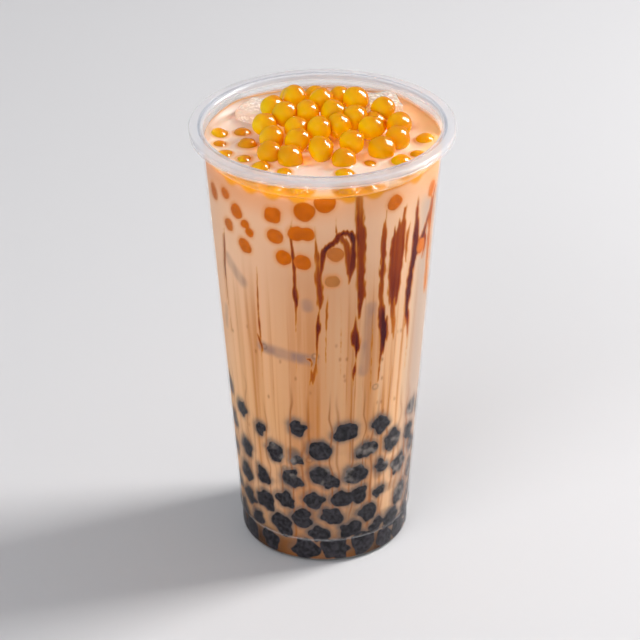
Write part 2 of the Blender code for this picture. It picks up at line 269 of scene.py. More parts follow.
@dataclass(frozen=True)
class MilkTea:
    """Black tea with milk, opaque and matt where it wets the plastic and glossy on top.

    Against the wall it is tan with streaks of dissolved syrup, salmon near the top, and brown in
    the sediment. The open surface is paler, because light enters it from above.
    """

    top: str = "#EFD6C8"
    gloss: float = 0.08
    steep_gloss: float = 0.4
    # What lies over the plain tea of the surface: the share's name, its colour and its most
    top_layers: tuple[tuple[str, str, float], ...] = (
        # A painted sheen on the menisci round the pearls
        ("painted_meniscus_sheen", "#FBEBDC", 1.0),
        # A painted amber glow round the pearls and near the wall, of light come through the jelly and the
        # thin tea
        ("amber", "#EAA858", 1.0),
        ("gold", "#DA8A00", 1.0),
        ("ruddy", "#D28A5C", 1.0),
        # Painted shade where the meniscus at the left is drawn up sharply and faces the lamp; it is also
        # rougher there
        ("steep_and_painted_shade", "#BE9C84", 0.85),
    )
    # Colours up the wall, from the sediment to the surface, at shares of the cup's height
    wall_stops: Stops = (
        (0.000, "#140C07"),
        (0.020, "#20130A"),
        (0.045, "#4C2E17"),
        (0.062, "#82603E"),
        (0.085, "#C89C72"),
        (0.180, "#EABC92"),
        (0.380, "#F0BE8C"),
        (0.560, "#F2C094"),
        (0.760, "#F0C6A4"),
        (0.880, "#EEC09C"),
        (0.940, "#EBAE82"),
        (1.000, "#E8A062"),
    )
    # What lies over the plain tea at the wall: the share's name and its colour
    wall_layers: tuple[tuple[str, str], ...] = (
        ("tan", "#C47E46"),
        ("pale", "#DCB692"),
        ("streak", "#BE7228"),
        # A painted shade, greyer and darker, over the right side that the key lamp lights
        ("painted_side_shade", "#AE9A8C"),
        ("salmon", "#E8A274"),
        # A painted amber glow round the sunk golden pearls and just under the tea line in front
        ("glow", "#DE8420"),
        ("gilt", "#E4920C"),
        ("ice", "#98786E"),
        ("murk", "#6A5548"),
        ("halo", "#6A605C"),
        ("drip", "#9A5520"),
    )
    # Colours through the brown sugar syrup, from its thin edge to its thickest part
    syrup_stops: Stops = (
        (0.00, "#E0A268"),
        (0.14, "#D08838"),
        (0.30, "#B8641A"),
        (0.46, "#A04A12"),
        (0.62, "#8E3818"),
        (0.80, "#742818"),
        (1.00, "#48161C"),
    )

    @cache
    def material(self, face: Face) -> bpy.types.Material:
        """Make the finish of the tea at the wall or of its open surface.

        Args:
            face: Which side of the tea it is for.

        Returns:
            The material.
        """
        mix = Recipe(f"milk_tea_{face.value}")
        if face is Face.SURFACE:
            mix.dress(Specular_IOR_Level=0.18, Subsurface_Weight=0.6)
            mix.dress(Subsurface_Radius=(1.0, 0.6, 0.4), Subsurface_Scale=3.0 * MM)
            mixed = self.top
            for layer, colour, most in self.top_layers:
                mixed = mix.blend(layer, mixed, colour, most)
            rough = mix.node("MapRange", {0: "steep_and_painted_shade", "To Min": self.gloss, "To Max": self.steep_gloss})
            return mix.dress(Base_Color=mixed, Roughness=rough)
        height = mix.node("SeparateXYZ", {0: mix.node("TexCoord", out="Object")}, "Z")
        height = mix.node("Math", {0: height, 1: CUP_HEIGHT * MM}, operation="DIVIDE")
        mixed = mix.node("ValToRGB", {0: height}, stops=self.wall_stops)
        for layer, colour in self.wall_layers:
            mixed = mix.blend(layer, mixed, colour)
        dark = mix.node("ValToRGB", {0: "syrup"}, stops=self.syrup_stops)
        cover = mix.node("MapRange", {0: "syrup", "From Min": 0.02, "From Max": 0.2})
        mixed = mix.node("Mix", {0: cover, 6: mixed, 7: dark}, 2, data_type="RGBA")
        return mix.dress(Base_Color=mixed, Roughness=0.6, Specular_IOR_Level=0.0)


@dataclass(frozen=True)
class BlackTapioca:
    """Tapioca starch boiled with brown sugar: nearly black, with milk caught against the wall."""

    skin: str = "#141317"
    worn: str = "#3C393F"
    milk: str = "#8A817B"
    mottle: float = 1.5
    patch: float = 4.2

    def material(self) -> bpy.types.Material:
        """Make the finish, with milky patches where the points say so.

        Returns:
            The material.
        """
        mix = Recipe("black_tapioca_pearl", Roughness=0.45, Specular_IOR_Level=0.1)
        place = mix.node("TexCoord", out="Object")
        mottle = mix.node("TexNoise", {"Vector": place, "Scale": 1 / (self.mottle * MM), "Detail": 5.0})
        skin = mix.node("ValToRGB", {0: mottle}, stops=((0.38, self.skin), (0.66, self.worn)))
        patch = mix.node("TexNoise", {"Vector": place, "Scale": 1 / (self.patch * MM), "Detail": 5.0})
        patch = mix.node("Math", {0: patch, 1: "milk"}, operation="ADD")
        limits = {0: patch, "From Min": 0.72, "From Max": 1.0}
        share = mix.node("MapRange", limits, interpolation_type="SMOOTHSTEP")
        return mix.dress(Base_Color=mix.blend(share, skin, self.milk))


@dataclass(frozen=True)
class GoldenTapioca:
    """Tapioca starch boiled with cane syrup: clear amber jelly with a wet skin.

    Its colour is painted with a glow where light that enters on the lamp's side leaves it, painted
    darker amber on the lamp's side, and painted with shade at its edges, where it crowds other
    pearls or the tea.
    """

    # Painted light: glow is a painted glow on the side away from the lamp, deep a painted darker amber on
    # the lamp's side
    glow: str = "#FFE000"
    body: str = "#FBCA00"
    deep: str = "#DA9000"
    sunk: str = "#DC8E00"
    # rim is the painted shade where a pearl touches another pearl or the tea
    rim: str = "#C87000"
    ior: float = 1.36
    lamp_open: float = 0.6

    @cache
    def material(self) -> bpy.types.Material:
        """Make the finish of the pearls that stand in air.

        Returns:
            The material.
        """
        mix = Recipe("golden_tapioca_jelly", Roughness=0.16, IOR=self.ior, Specular_IOR_Level=0.5)
        mix.dress(Subsurface_Weight=0.85, Subsurface_Radius=(1.0, 0.74, 0.08))
        mix.dress(Subsurface_Scale=3.6 * MM, Transmission_Weight=0.12)
        # Painted light by each point's way from the lamp: darker amber towards it, a painted glow away from
        # it
        through = ((0.14, self.deep), (0.42, self.body), (0.7, self.glow))
        mixed = mix.blend("sunk", mix.node("ValToRGB", {0: "glow"}, stops=through), self.sunk)
        # Painted shade where pearls touch one another or the tea
        mix.dress(Base_Color=mix.blend("painted_crowd_shade", mixed, self.rim, 0.6))
        lamp = mix.node("LightPath", out="Is Shadow Ray")
        lamp = mix.node("Math", {0: lamp, 1: self.lamp_open}, operation="MULTIPLY")
        return mix.let_through(lamp, self.body)


@dataclass(frozen=True)
class SunkTapioca:
    """The same golden pearls seen through plastic and a film of tea: matt and browner."""

    middle: str = "#D26800"
    edge: str = "#C8640A"
    deep: str = "#BE5A02"
    tea: str = "#B27C48"
    cloud: float = 2.4

    def material(self) -> bpy.types.Material:
        """Make the finish, veiled by tea as the points say.

        Returns:
            The material.
        """
        mix = Recipe("sunk_golden_tapioca", Roughness=0.5, Specular_IOR_Level=0.0)
        colour = mix.node("ValToRGB", {0: "edge"}, stops=((0.7, self.middle), (1.0, self.edge)))
        place = mix.node("TexCoord", out="Object")
        cloud = mix.node("TexNoise", {"Vector": place, "Scale": 1 / (self.cloud * MM), "Detail": 3.0})
        deeper = mix.node("MapRange", {0: cloud, "From Min": 0.42, "From Max": 0.7})
        return mix.dress(Base_Color=mix.blend("veil", mix.blend(deeper, colour, self.deep), self.tea))


@dataclass(frozen=True)
class CloudyIce:
    """Ice frozen fast in a tray: clear skin, white bubbles in the middle, its edges melted round."""

    clear: str = "#FBEDE2"
    bubbles: str = "#FFFBF6"
    ior: float = 1.31
    grain: float = 1.3

    @cache
    def material(self) -> bpy.types.Material:
        """Make the finish.

        Returns:
            The material.
        """
        mix = Recipe("cloudy_ice", IOR=self.ior, Roughness=0.1, Subsurface_Weight=0.8)
        mix.dress(Subsurface_Radius=(1.0, 0.85, 0.7), Subsurface_Scale=2.5 * MM)
        place = mix.node("TexCoord", out="Object")
        size = {"Scale": 1 / (self.grain * MM), "Detail": 4.0, "Roughness": 0.7}
        cloud = mix.node("TexNoise", {"Vector": place} | size)
        share = mix.node("MapRange", {0: cloud, "From Min": 0.47, "From Max": 0.66})
        share = mix.node("Math", {0: share, 1: "core"}, operation="MULTIPLY")
        return mix.dress(
            Base_Color=mix.blend(share, self.clear, self.bubbles),
            Transmission_Weight=mix.node("MapRange", {0: share, "To Min": 0.55, "To Max": 0.05}),
            Normal=mix.node("Bump", {"Height": cloud, "Strength": 0.15, "Distance": 0.3 * MM}),
        )


@dataclass(frozen=True)
class TeaFilm:
    """Tea that clings to the wall above the surface: thin, see-through and amber at its foot."""

    foot: str = "#E0A45C"
    middle: str = "#D8B08A"
    top: str = "#D2C6BC"

    def material(self) -> bpy.types.Material:
        """Make the finish, which thins out upwards as the points say.

        Returns:
            The material.
        """
        mix = Recipe("tea_film", Roughness=0.25, Alpha="wet")
        thinner = ((0.1, self.top), (0.45, self.middle), (0.9, self.foot))
        return mix.dress(Base_Color=mix.node("ValToRGB", {0: "wet"}, stops=thinner))


@dataclass(frozen=True)
class PaintedBoard:
    """A board rolled with flat white paint: a soft shadow, and a ripple too faint to notice."""

    paint: str = "#DADADD"
    ripple: float = 100 / 3

    def material(self) -> bpy.types.Material:
        """Make the finish.

        Returns:
            The material.
        """
        mix = Recipe("painted_board", Base_Color=self.paint, Roughness=0.7, Specular_IOR_Level=0.2)
        place = mix.node("TexCoord", out="Object")
        ripple = mix.node("TexNoise", {"Vector": place, "Scale": 1 / (self.ripple * MM), "Detail": 4.0})
        return mix.dress(Normal=mix.node("Bump", {"Height": ripple, "Strength": 0.05}))


def object_from(
    name: str,
    verts: np.ndarray,
    faces: np.ndarray,
    material: bpy.types.Material,
    values: dict[str, np.ndarray] | None = None,
    sharp_deg: float = 180.0,
) -> bpy.types.Object:
    """Make an object of points in millimetres and faces of one length.

    Args:
        name: The piece's name.
        verts: Points, one row each.
        faces: Corner numbers, one row for each face.
        material: The piece's finish.
        values: Numbers for each point, by their name.
        sharp_deg: Edges bent by more than this stay sharp.

    Returns:
        The new object, linked to the scene.
    """
    mesh = bpy.data.meshes.new(name)
    count, corners = faces.shape
    mesh.vertices.add(len(verts))
    mesh.vertices.foreach_set("co", (verts * MM).astype(np.float32).ravel())
    mesh.loops.add(count * corners)
    mesh.loops.foreach_set("vertex_index", faces.astype(np.int32).ravel())
    mesh.polygons.add(count)
    mesh.polygons.foreach_set("loop_start", np.arange(count, dtype=np.int32) * corners)
    for key, numbers in (values or {}).items():
        layer = mesh.attributes.new(key, "FLOAT", "POINT")
        layer.data.foreach_set("value", numbers.astype(np.float32).ravel())
    mesh.update(calc_edges=True)
    mesh.shade_smooth()
    if sharp_deg < 180.0:
        mesh.set_sharp_from_angle(angle=math.radians(sharp_deg))
    mesh.materials.append(material)
    made = bpy.data.objects.new(name, mesh)
    bpy.context.scene.collection.objects.link(made)
    return made


def take_mesh(bm: bmesh.types.BMesh) -> tuple[np.ndarray, np.ndarray]:
    """Take the points and faces out of an edited mesh, and free it.

    Args:
        bm: The edited mesh, all of triangles.

    Returns:
        Points and triangles.
    """
    points = np.array([vert.co for vert in bm.verts])
    faces = np.array([[vert.index for vert in face.verts] for face in bm.faces])
    bm.free()
    return points, faces


def round_axis(radius: np.ndarray, angle: np.ndarray, height: np.ndarray | float) -> np.ndarray:
    """Points in rows of x, y and z, from radii, angles from the front and heights."""
    places = np.broadcast_arrays(radius * np.sin(angle), -radius * np.cos(angle), height)
    return np.stack(places, axis=-1).reshape(-1, 3)


def grid_faces(rows: int, columns: int, closed: bool = True) -> np.ndarray:
    """Quads of a grid of points that runs row by row.

    Args:
        rows: Rows of points.
        columns: Points in each row.
        closed: Whether the last column joins the first.

    Returns:
        Four corner numbers for each quad.
    """
    spans = columns if closed else columns - 1
    i, j = np.meshgrid(np.arange(rows - 1), np.arange(spans), indexing="ij")
    after = (j + 1) % columns
    corners = (i * columns + j, i * columns + after, (i + 1) * columns + after, (i + 1) * columns + j)
    return np.stack([corner.ravel() for corner in corners], axis=1)


def lattice(u: np.ndarray, v: np.ndarray, columns: int, rows: int, seed: int) -> np.ndarray:
    """Smooth seeded noise from 0 to 1 that closes on itself along u.

    Args:
        u: Share of the way round.
        v: Share of the way up, from 0 to 1.
        columns: Cells round.
        rows: Cells up.
        seed: Which noise.

    Returns:
        One number for each point.
    """
    table = np.random.default_rng(seed).random((rows + 2, columns))
    x, y = (u % 1.0) * columns, np.clip(v, 0.0, 1.0) * rows
    i, j = np.floor(x).astype(int), np.floor(y).astype(int)
    fx, fy = x - i, y - j
    fx, fy = fx * fx * (3 - 2 * fx), fy * fy * (3 - 2 * fy)
    left, right = i % columns, (i + 1) % columns
    low = table[j, left] * (1 - fx) + table[j, right] * fx
    high = table[j + 1, left] * (1 - fx) + table[j + 1, right] * fx
    return low * (1 - fy) + high * fy


def rise(low: float, high: float, x: np.ndarray) -> np.ndarray:
    """Smooth step from 0 at low to 1 at high."""
    t = np.clip((x - low) / (high - low), 0.0, 1.0)
    return t * t * (3 - 2 * t)


def smooth_line(points: np.ndarray, spacing: float = 0.35) -> np.ndarray:
    """Join points by a smooth line.

    Args:
        points: Rows that start with degrees and height in millimetres.
        spacing: About how far apart the line's points are, in millimetres.

    Returns:
        Closely spaced rows of the same kind.
    """
    ends = np.concatenate([points[:1], points, points[-1:]])
    rows = []
    for a, b, c, d in zip(ends, ends[1:], ends[2:], ends[3:]):
        span = float(np.hypot((c[0] - b[0]) * DEGREE_MM, c[1] - b[1]))
        t = np.linspace(0.0, 1.0, max(2, round(span / spacing)), endpoint=False)[:, None]
        bend = (2 * a - 5 * b + 4 * c - d) * t**2 + (3 * b - a - 3 * c + d) * t**3
        rows.append(b + 0.5 * ((c - a) * t + bend))
    return np.concatenate(rows + [points[-1:]])


@dataclass
class CupShell:
    """The moulded cup: its sizes, and the shell that they give."""

    height: float
    rim_radius: float
    lip_inner_radius: float = 42.2
    lip_thickness: float = 1.3
    lip_depth: float = 2.4
    skirt_height: float = 2.8
    skirt_thickness: float = 0.8
    wall: float = 0.8
    wall_top_radius: float = 43.4
    wall_top_drop: float = 1.4
    inner_round: float = 0.8
    rim_round: float = 0.6
    hem_round: float = 0.3
    skirt_round: float = 0.4
    bend_round: float = 0.7
    ledge_height: float = 10.8
    ledge_radius: float = 32.0
    ledge_step: float = 0.6
    ledge_fade: float = 1.6
    foot_radius: float = 28.8
    foot_corner: float = 3.2
    foot_ring: float = 4.5
    foot_recess: float = 1.2
    floor_top: float = 2.2
    floor_corner: float = 3.6
    bite: float = 0.08
    foot_bite: float = 0.4
    skin_floor: float = 1.5
    steps: int = 256

    @property
    def foot_top_radius(self) -> float:
        """Outer radius under the ledge, in millimetres."""
        return self.ledge_radius - self.ledge_step

    def outer_radius(self, height: np.ndarray) -> np.ndarray:
        """Outer radius of the wall above the ledge, in millimetres."""
        share = (height - self.ledge_height) / (self.height - self.ledge_height)
        return self.ledge_radius + (self.wall_top_radius - self.ledge_radius) * share

    def inner_radius(self, height: np.ndarray | float) -> np.ndarray:
        """Measure the inside of the cup, down to its rounded floor corner.

        Args:
            height: Heights in millimetres.

        Returns:
            The inner radius at each height.
        """
        height = np.asarray(height, float)
        drop = self.floor_corner - np.clip(height - self.floor_top, 0.0, self.floor_corner)
        corner = self.foot_top_radius - self.wall - self.floor_corner
        corner = corner + np.sqrt(self.floor_corner**2 - drop**2)
        share = rise(self.ledge_height - self.ledge_step, self.ledge_height, height)
        above = self.outer_radius(np.maximum(height, self.ledge_height)) - self.wall
        return corner * (1 - share) + above * share

    def skin_radius(self, height: np.ndarray | float) -> np.ndarray:
        """Measure how far the contents reach, a little way into the plastic.

        Args:
            height: Heights in millimetres.

        Returns:
            The contents' radius at each height.
        """
        height = np.asarray(height, float)
        drop = np.clip(self.foot_corner - height, 0.0, self.foot_corner)
        round_off = np.sqrt(1 - (drop / self.foot_corner) ** 2)
        foot = self.foot_radius + (self.foot_top_radius - self.foot_radius) * round_off - self.foot_bite
        share = rise(self.ledge_height - self.ledge_fade, self.ledge_height, height)
        return foot * (1 - share) + (self.inner_radius(height) + self.bite) * share

    def section(self) -> list[tuple[float, float]]:
        """Draw the shell's section: up the inside, over the lip and down the outside.

        Returns:
            Radius and height of each point, from axis to axis.
        """
        top, hem, under = self.height, self.height - self.skirt_height, self.height - self.lip_thickness
        below, skirt = self.foot_top_radius, self.rim_radius - self.skirt_thickness
        corner, inner, rim = self.floor_corner, self.inner_round, self.rim_round
        edge, hollow, bend = self.hem_round, self.skirt_round, self.bend_round
        # Each arc's middle, its reach across and up, where it starts and ends in degrees, its steps
        arcs = (
            (below - self.wall - corner, self.floor_top + corner, corner, corner, -90, 0, 8),
            (self.lip_inner_radius + inner, top - inner, inner, inner, 180, 90, 6),
            (self.rim_radius - rim, top - rim, rim, rim, 90, 0, 5),
            (self.rim_radius - edge, hem + edge, edge, edge, 0, -90, 3),
            (skirt + edge, hem + edge, edge, edge, -90, -180, 3),
            (skirt - hollow, under - hollow, hollow, hollow, 0, 90, 3),
            (self.wall_top_radius + bend, under - bend, bend, bend, 90, 180, 4),
            (self.foot_radius, self.foot_corner, below - self.foot_radius, self.foot_corner, 0, -90, 8),
        )
        floor, *lip, foot = (
            [
                (x + across * math.cos(angle), z + up * math.sin(angle))
                for angle in np.radians(np.linspace(start, end, steps + 1))
            ]
            for x, z, across, up, start, end, steps in arcs
        )
        step = self.ledge_height - self.ledge_step
        inside = np.linspace(self.ledge_height, top - self.lip_depth, 12)
        outside = np.linspace(under - self.wall_top_drop, self.ledge_height, 12)
        ring = self.foot_radius - self.foot_ring
        return [
            *[(0.0, self.floor_top), *floor, (below - self.wall, step)],
            *[(float(self.inner_radius(z)), z) for z in inside],
            *sum(lip, []),
            *[(float(self.outer_radius(z)), z) for z in outside],
            *[(below, step), *foot, (ring, 0.0)],
            *[(ring - self.foot_recess, self.foot_recess), (0.0, self.foot_recess)],
        ]

    def build(self) -> bpy.types.Object:
        """Turn the section into the cup and dress it.

        Returns:
            The cup.
        """
        section = np.array(self.section())
        angles = np.linspace(0.0, math.tau, self.steps, endpoint=False)
        verts = round_axis(section[:, :1], angles, section[:, 1:])
        faces = grid_faces(len(section), self.steps)[:, ::-1]
        cup = object_from("cup_shell", verts, faces, ClearPolypropylene().material(), sharp_deg=40.0)
        weld = bmesh.new()
        weld.from_mesh(cup.data)
        bmesh.ops.remove_doubles(weld, verts=weld.verts, dist=0.001 * MM)
        bmesh.ops.recalc_face_normals(weld, faces=weld.faces)
        weld.to_mesh(cup.data)
        weld.free()
        return cup


@dataclass
class Pearl:
    """One pearl: its centre and radius in millimetres, and how much tea or milk veils it."""

    centre: np.ndarray
    radius: float
    veil: float = 0.0


# Black pearls that show at the wall: degrees, height, size and milkiness
BLACK_AT_WALL = (
    ((-76, 64.5, 0.9, 0.1), (-59, 59.9, 1.0, 0.1), (-42, 55.8, 0.84, 0.0), (-16, 60.7, 0.92, 0.0)),
    ((13, 58.7, 1.1, 0.0), (36, 58.5, 1.0, 0.0), (67, 57.5, 0.9, 0.3), (-74, 50.6, 0.95, 0.2)),
    ((-58, 43.2, 1.03, 0.15), (-32, 47.2, 1.08, 0.22), (-17, 46.0, 0.8, 0.26), (-3, 50.9, 1.12, 0.05)),
    ((27, 49.2, 1.12, 0.25), (47, 49.4, 1.04, 0.2), (66, 47.8, 1.0, 0.22), (-77, 38.0, 0.95, 0.2)),
    ((-43, 34.9, 1.0, 0.1), (-21.6, 37.2, 1.08, 0.22), (-3, 39.8, 1.0, 0.27), (4, 37.2, 0.86, 0.1)),
    ((20.4, 39.2, 1.12, 0.25), (38.2, 40.4, 0.84, 0.28), (55, 36.2, 1.1, 0.28), (72, 40.0, 0.95, 0.28)),
    ((-61.4, 30.8, 1.04, 0.15), (-26, 27.2, 1.02, 0.1), (-7.5, 28.6, 1.0, 0.05), (11.2, 29.1, 1.04, 0.0)),
    ((22.6, 29.8, 1.02, 0.05), (38, 28.6, 0.9, 0.25), (73, 29.0, 0.95, 0.3), (-78, 22.0, 1.0, 0.2)),
    ((-42, 23.4, 1.12, 0.05), (-15.4, 20.0, 1.08, 0.0), (4.3, 21.3, 1.1, 0.0), (29.7, 20.6, 1.04, 0.05)),
    ((-60, 20.6, 1.02, 0.1), (59, 22.4, 1.15, 0.25), (77, 18.0, 1.0, 0.2), (-51, 13.6, 1.0, 0.05)),
    ((-30, 15.1, 1.08, 0.0), (-3.3, 13.4, 0.98, 0.0), (17.2, 14.5, 1.12, 0.0), (37, 13.4, 0.92, 0.05)),
    ((52, 13.2, 1.12, 0.1), (-70, 12.0, 1.05, 0.1), (70, 11.0, 1.1, 0.15), (-40.6, 6.2, 1.22, 0.0)),
    ((-13.1, 6.0, 1.32, 0.0), (7.8, 6.2, 1.34, 0.0), (28, 7.0, 1.3, 0.0), (45, 5.8, 1.2, 0.05)),
    ((-61, 5.4, 1.2, 0.0), (63, 5.0, 1.2, 0.1), (-80, 5.0, 1.15, 0.0), (81, 5.5, 1.15, 0.1)),
)

# Black pearls that stop short of the wall and only shade the tea: degrees, height, radius, strength
BLURRED_BEHIND = (
    *((-19.5, 49.0, 3.0, 0.75), (24.5, 48.0, 2.4, 0.5)),
    *((61.0, 42.5, 2.6, 0.5), (36.0, 36.5, 2.4, 0.5)),
)

# Golden pearls sunk against the wall: degrees, height, size and how much tea veils them
GOLD_AT_WALL = (
    ((-68, 147.4, 1.0, 0.25), (-55, 150.5, 0.85, 0.15), (-47, 145.9, 1.0, 0.1), (-54, 138.3, 0.9, 0.3)),
    ((-42, 141.6, 0.78, 0.05), (-39, 139.2, 0.78, 0.05), (-43, 132.8, 0.98, 0.12), (-25, 149.0, 1.08, 0.0)),
    ((-24, 140.5, 1.0, 0.05), (-9, 151.9, 1.18, 0.0), (-13, 142.6, 0.98, 0.0), (-8, 143.0, 0.96, 0.0)),
    ((-20, 132.3, 0.98, 0.0), (-10.5, 131.2, 1.02, 0.03), (1, 155.6, 1.15, 0.0), (37, 151.2, 1.0, 0.12)),
    ((6, 134.6, 0.98, 0.45), (4.5, 123.6, 0.92, 0.75), (60, 127.6, 0.98, 0.3), (68, 148.0, 1.0, 0.25)),
)

# Golden pearls of the heap, in rows from the front: across, depth, and height above the tea
HEAPED_PEARLS = (
    ((7.4, -17.0, 1.7), (-11.4, -16.1, 2.1)),
    ((-18.4, -12.5, 2.3), (-0.6, -12.7, 4.0), (20.8, -10.4, 2.7)),
    ((-8.8, -7.9, 5.0), (10.3, -9.1, 4.8), (26.6, -2.7, 3.3)),
    ((-17.9, -4.7, 4.5), (-1.1, -1.4, 6.4), (17.2, 0.3, 5.8)),
    ((-20.4, 3.6, 5.9), (-9.1, 0.6, 5.8), (5.7, 1.8, 6.3), (27.3, 5.1, 4.8)),
    ((-13.3, 7.6, 8.2), (-5.3, 8.1, 8.5), (3.9, 8.7, 8.5), (11.6, 6.8, 7.0), (18.9, 8.7, 3.7)),
    ((-17.6, 15.2, 7.0), (-0.2, 15.4, 9.9), (12.0, 15.6, 10.2), (21.8, 12.6, 7.6)),
    ((-9.8, 18.6, 9.7), (6.4, 21.5, 8.0)),
    ((-11.2, 25.2, 5.8), (-2.4, 25.4, 6.2), (12.6, 24.6, 5.2)),
)

# How sunk each floating pearl looks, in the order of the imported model's names
FLOATER_DEPTHS = (0.05, 0.85, 0.8, 0.25, 0.2, 0.75, 0.35, 0.15, 0.2, 0.9, 0.3, 0.65, 0.5) + 7 * (0.8,)

# Brown sugar syrup run down the wall: degrees, height, half width and strength along each run
SYRUP_RUNS = (
    ((-60, 134, 0.4, 0.4), (-62.7, 121.7, 0.84, 0.9), (-64, 110, 0.5, 0.5), (-63, 93, 0.35, 0.3)),
    ((-36.1, 123.6, 0.2, 0.4), (-36.5, 115.2, 0.4, 0.6), (-37, 105.4, 0.45, 0.65), (-36.6, 92, 0.35, 0.5),
     (-37.5, 79, 0.2, 0.3)),
    ((-14.6, 149, 0.15, 0.3), (-15.9, 140.4, 0.5, 0.55), (-15, 132.4, 0.7, 0.7), (-14.7, 122.8, 0.75, 0.65),
     (-14.7, 116, 1.2, 0.9), (-14.5, 111.5, 0.4, 0.6), (-15, 100, 0.2, 0.4), (-15.4, 84, 0.15, 0.3)),
    ((-4, 146.5, 0.15, 0.4), (-3.6, 138.5, 0.6, 0.5), (-2.9, 130, 1.2, 0.5), (-2.4, 123.5, 1.35, 0.6),
     (-1.6, 116.6, 1.25, 0.62), (-1.8, 110.5, 0.6, 0.5)),
    ((-2.2, 111, 0.3, 0.45), (-3, 106.1, 0.9, 0.85), (-2.8, 102.6, 1.25, 0.95), (-3.5, 98.6, 0.6, 0.7),
     (-4.2, 90, 0.4, 0.45), (-6.4, 85, 1.4, 0.4), (-7.4, 81.5, 0.7, 0.35)),
    ((-1.6, 125, 0.5, 0.55), (-0.7, 130.5, 0.95, 0.85), (0.6, 135.8, 1.1, 0.9), (3.8, 138.6, 1.15, 0.9),
     (6.2, 140, 1.1, 0.8), (8.0, 142.2, 1.1, 0.84), (10.8, 143.0, 1.2, 0.9), (13.8, 141.4, 1.3, 0.9),
     (15.1, 137.6, 1.1, 0.9), (15, 131.6, 1.3, 0.84), (14, 126.9, 1.1, 0.72), (13, 122, 0.3, 0.5)),
    ((8.6, 141.5, 1.1, 0.5), (11.4, 138, 1.6, 0.56), (12.4, 132.5, 1.5, 0.6), (13, 126.5, 1.0, 0.55)),
    ((6.2, 148, 0.12, 0.3), (6.4, 141.7, 0.5, 0.5)),
    ((17.6, 156.6, 1.9, 0.3), (18.1, 151.4, 1.95, 0.38), (18.4, 147.4, 1.95, 0.58),
     (18.7, 141.3, 1.95, 0.74), (19.2, 131.7, 1.85, 0.78), (19.6, 122.1, 1.75, 0.78),
     (19.9, 115.2, 1.5, 0.76), (19.3, 111.1, 0.9, 0.75), (18.8, 106.5, 0.25, 0.45)),
    ((32.2, 148, 0.2, 0.3), (31.4, 141.9, 0.8, 0.45), (31.4, 135.1, 1.25, 0.6), (31.6, 126.9, 1.35, 0.68),
     (31.4, 118.7, 1.25, 0.55), (31.4, 112.5, 1.1, 0.5), (32.1, 107, 1.7, 0.8), (33.8, 102.3, 2.1, 1.0),
     (34.6, 95.8, 2.05, 1.0), (33.9, 91, 1.1, 0.85), (32.8, 85.5, 0.7, 0.55), (32.3, 77, 0.4, 0.35)),
    ((43.7, 146, 0.9, 0.5), (42.5, 141.3, 2.2, 0.55), (41.2, 136.3, 3.4, 0.6), (40.1, 130.5, 3.8, 0.62),
     (39.9, 123.7, 3.7, 0.64), (39.8, 117.6, 3.1, 0.72), (39.6, 111.2, 2.1, 0.66)),
    ((38.9, 110.2, 1.75, 0.5), (40.3, 104.5, 1.3, 0.4), (40.8, 96, 0.7, 0.3)),
    ((48.8, 142, 0.3, 0.3), (46.8, 135.6, 0.9, 0.45), (47, 126, 0.6, 0.35)),
    ((53.4, 149, 0.3, 0.5), (54, 139.5, 1.6, 0.85), (54.1, 132.7, 2.2, 0.95), (53.6, 125.4, 2.3, 1.0),
     (52.3, 118.9, 2.0, 1.0), (51.4, 112.3, 2.1, 1.0), (50.9, 104.9, 1.6, 1.0), (52.3, 98.2, 1.0, 0.9),
     (53.8, 91, 0.3, 0.6), (53.4, 78, 0.2, 0.3)),
    ((75, 146, 1.2, 0.5), (69, 139.5, 1.5, 0.75), (62.4, 132.6, 1.6, 0.9), (56.6, 125.8, 1.6, 0.9)),
    ((62.2, 132.2, 0.9, 0.7), (65.2, 127.5, 1.2, 0.7), (62.9, 122, 0.6, 0.5)),
    ((70.8, 142.7, 2.3, 0.4), (69.4, 137, 2.3, 0.45), (70.4, 128.1, 1.8, 0.4), (72.5, 108, 2.2, 0.3)),
    ((17.4, 108, 0.2, 0.35), (17.1, 102.5, 0.8, 0.75), (17.3, 98, 1.7, 0.95), (17.7, 94, 1.4, 0.95),
     (17.8, 90.5, 0.35, 0.6), (17.5, 86.5, 0.4, 0.7), (16.9, 83.6, 0.6, 0.75), (16.6, 76, 0.2, 0.4)),
    ((2.4, 118, 0.3, 0.3), (1.6, 110, 0.6, 0.4), (1.2, 100, 0.4, 0.3), (1.0, 78, 0.2, 0.2)),
    ((27.4, 110, 0.15, 0.3), (27.2, 95, 0.4, 0.35), (27.6, 74, 0.3, 0.3)),
    ((8.8, 118, 0.12, 0.3), (9.4, 100, 0.25, 0.3), (9.0, 80, 0.2, 0.25)),
    ((-38.6, 96.8, 0.2, 0.6), (-37.2, 94.6, 0.55, 0.85), (-36.2, 91.8, 0.45, 0.8), (-35.8, 89.6, 0.2, 0.5)),
    ((-9.8, 91.2, 0.2, 0.6), (-8.0, 91.0, 0.4, 0.75), (-6.6, 89.4, 0.4, 0.7), (-7.2, 87.4, 0.2, 0.5)),
)

# Ice sunk near the wall, which greys the tea: two ends as degrees and height, half width, strength
SUNK_ICE = (
    ((-36.0, 92.6), (-6.5, 90.4), 2.6, 0.8),
    ((25.8, 111.0), (22.6, 84.0), 2.3, 0.6),
    ((-59.0, 123.5), (-47.0, 117.0), 2.6, 0.6),
    ((-8.6, 114.4), (-8.4, 112.6), 2.2, 0.75),
    ((-67.5, 100.0), (-70.0, 92.0), 1.8, 0.5),
)

# Bubbles and drops on the wall: degrees, height and radius
BUBBLES = (
    *((-18.6, 45.6, 1.0), (-25.6, 41.4, 0.9), (-9.4, 46.6, 1.2), (39.6, 111.5, 1.0)),
    *((30.7, 76.0, 1.1), (-4.6, 92.2, 1.1), (16.9, 83.4, 0.6), (-34.6, 92.8, 1.0)),
)

# Where the tea clings higher to the wall: degrees, width in degrees and extra height
DRAWN_UP = ((-104.0, 22.0, 1.5), (-135.0, 15.0, 1.2), (98.0, 20.0, 1.7), (138.0, 14.0, 1.0))


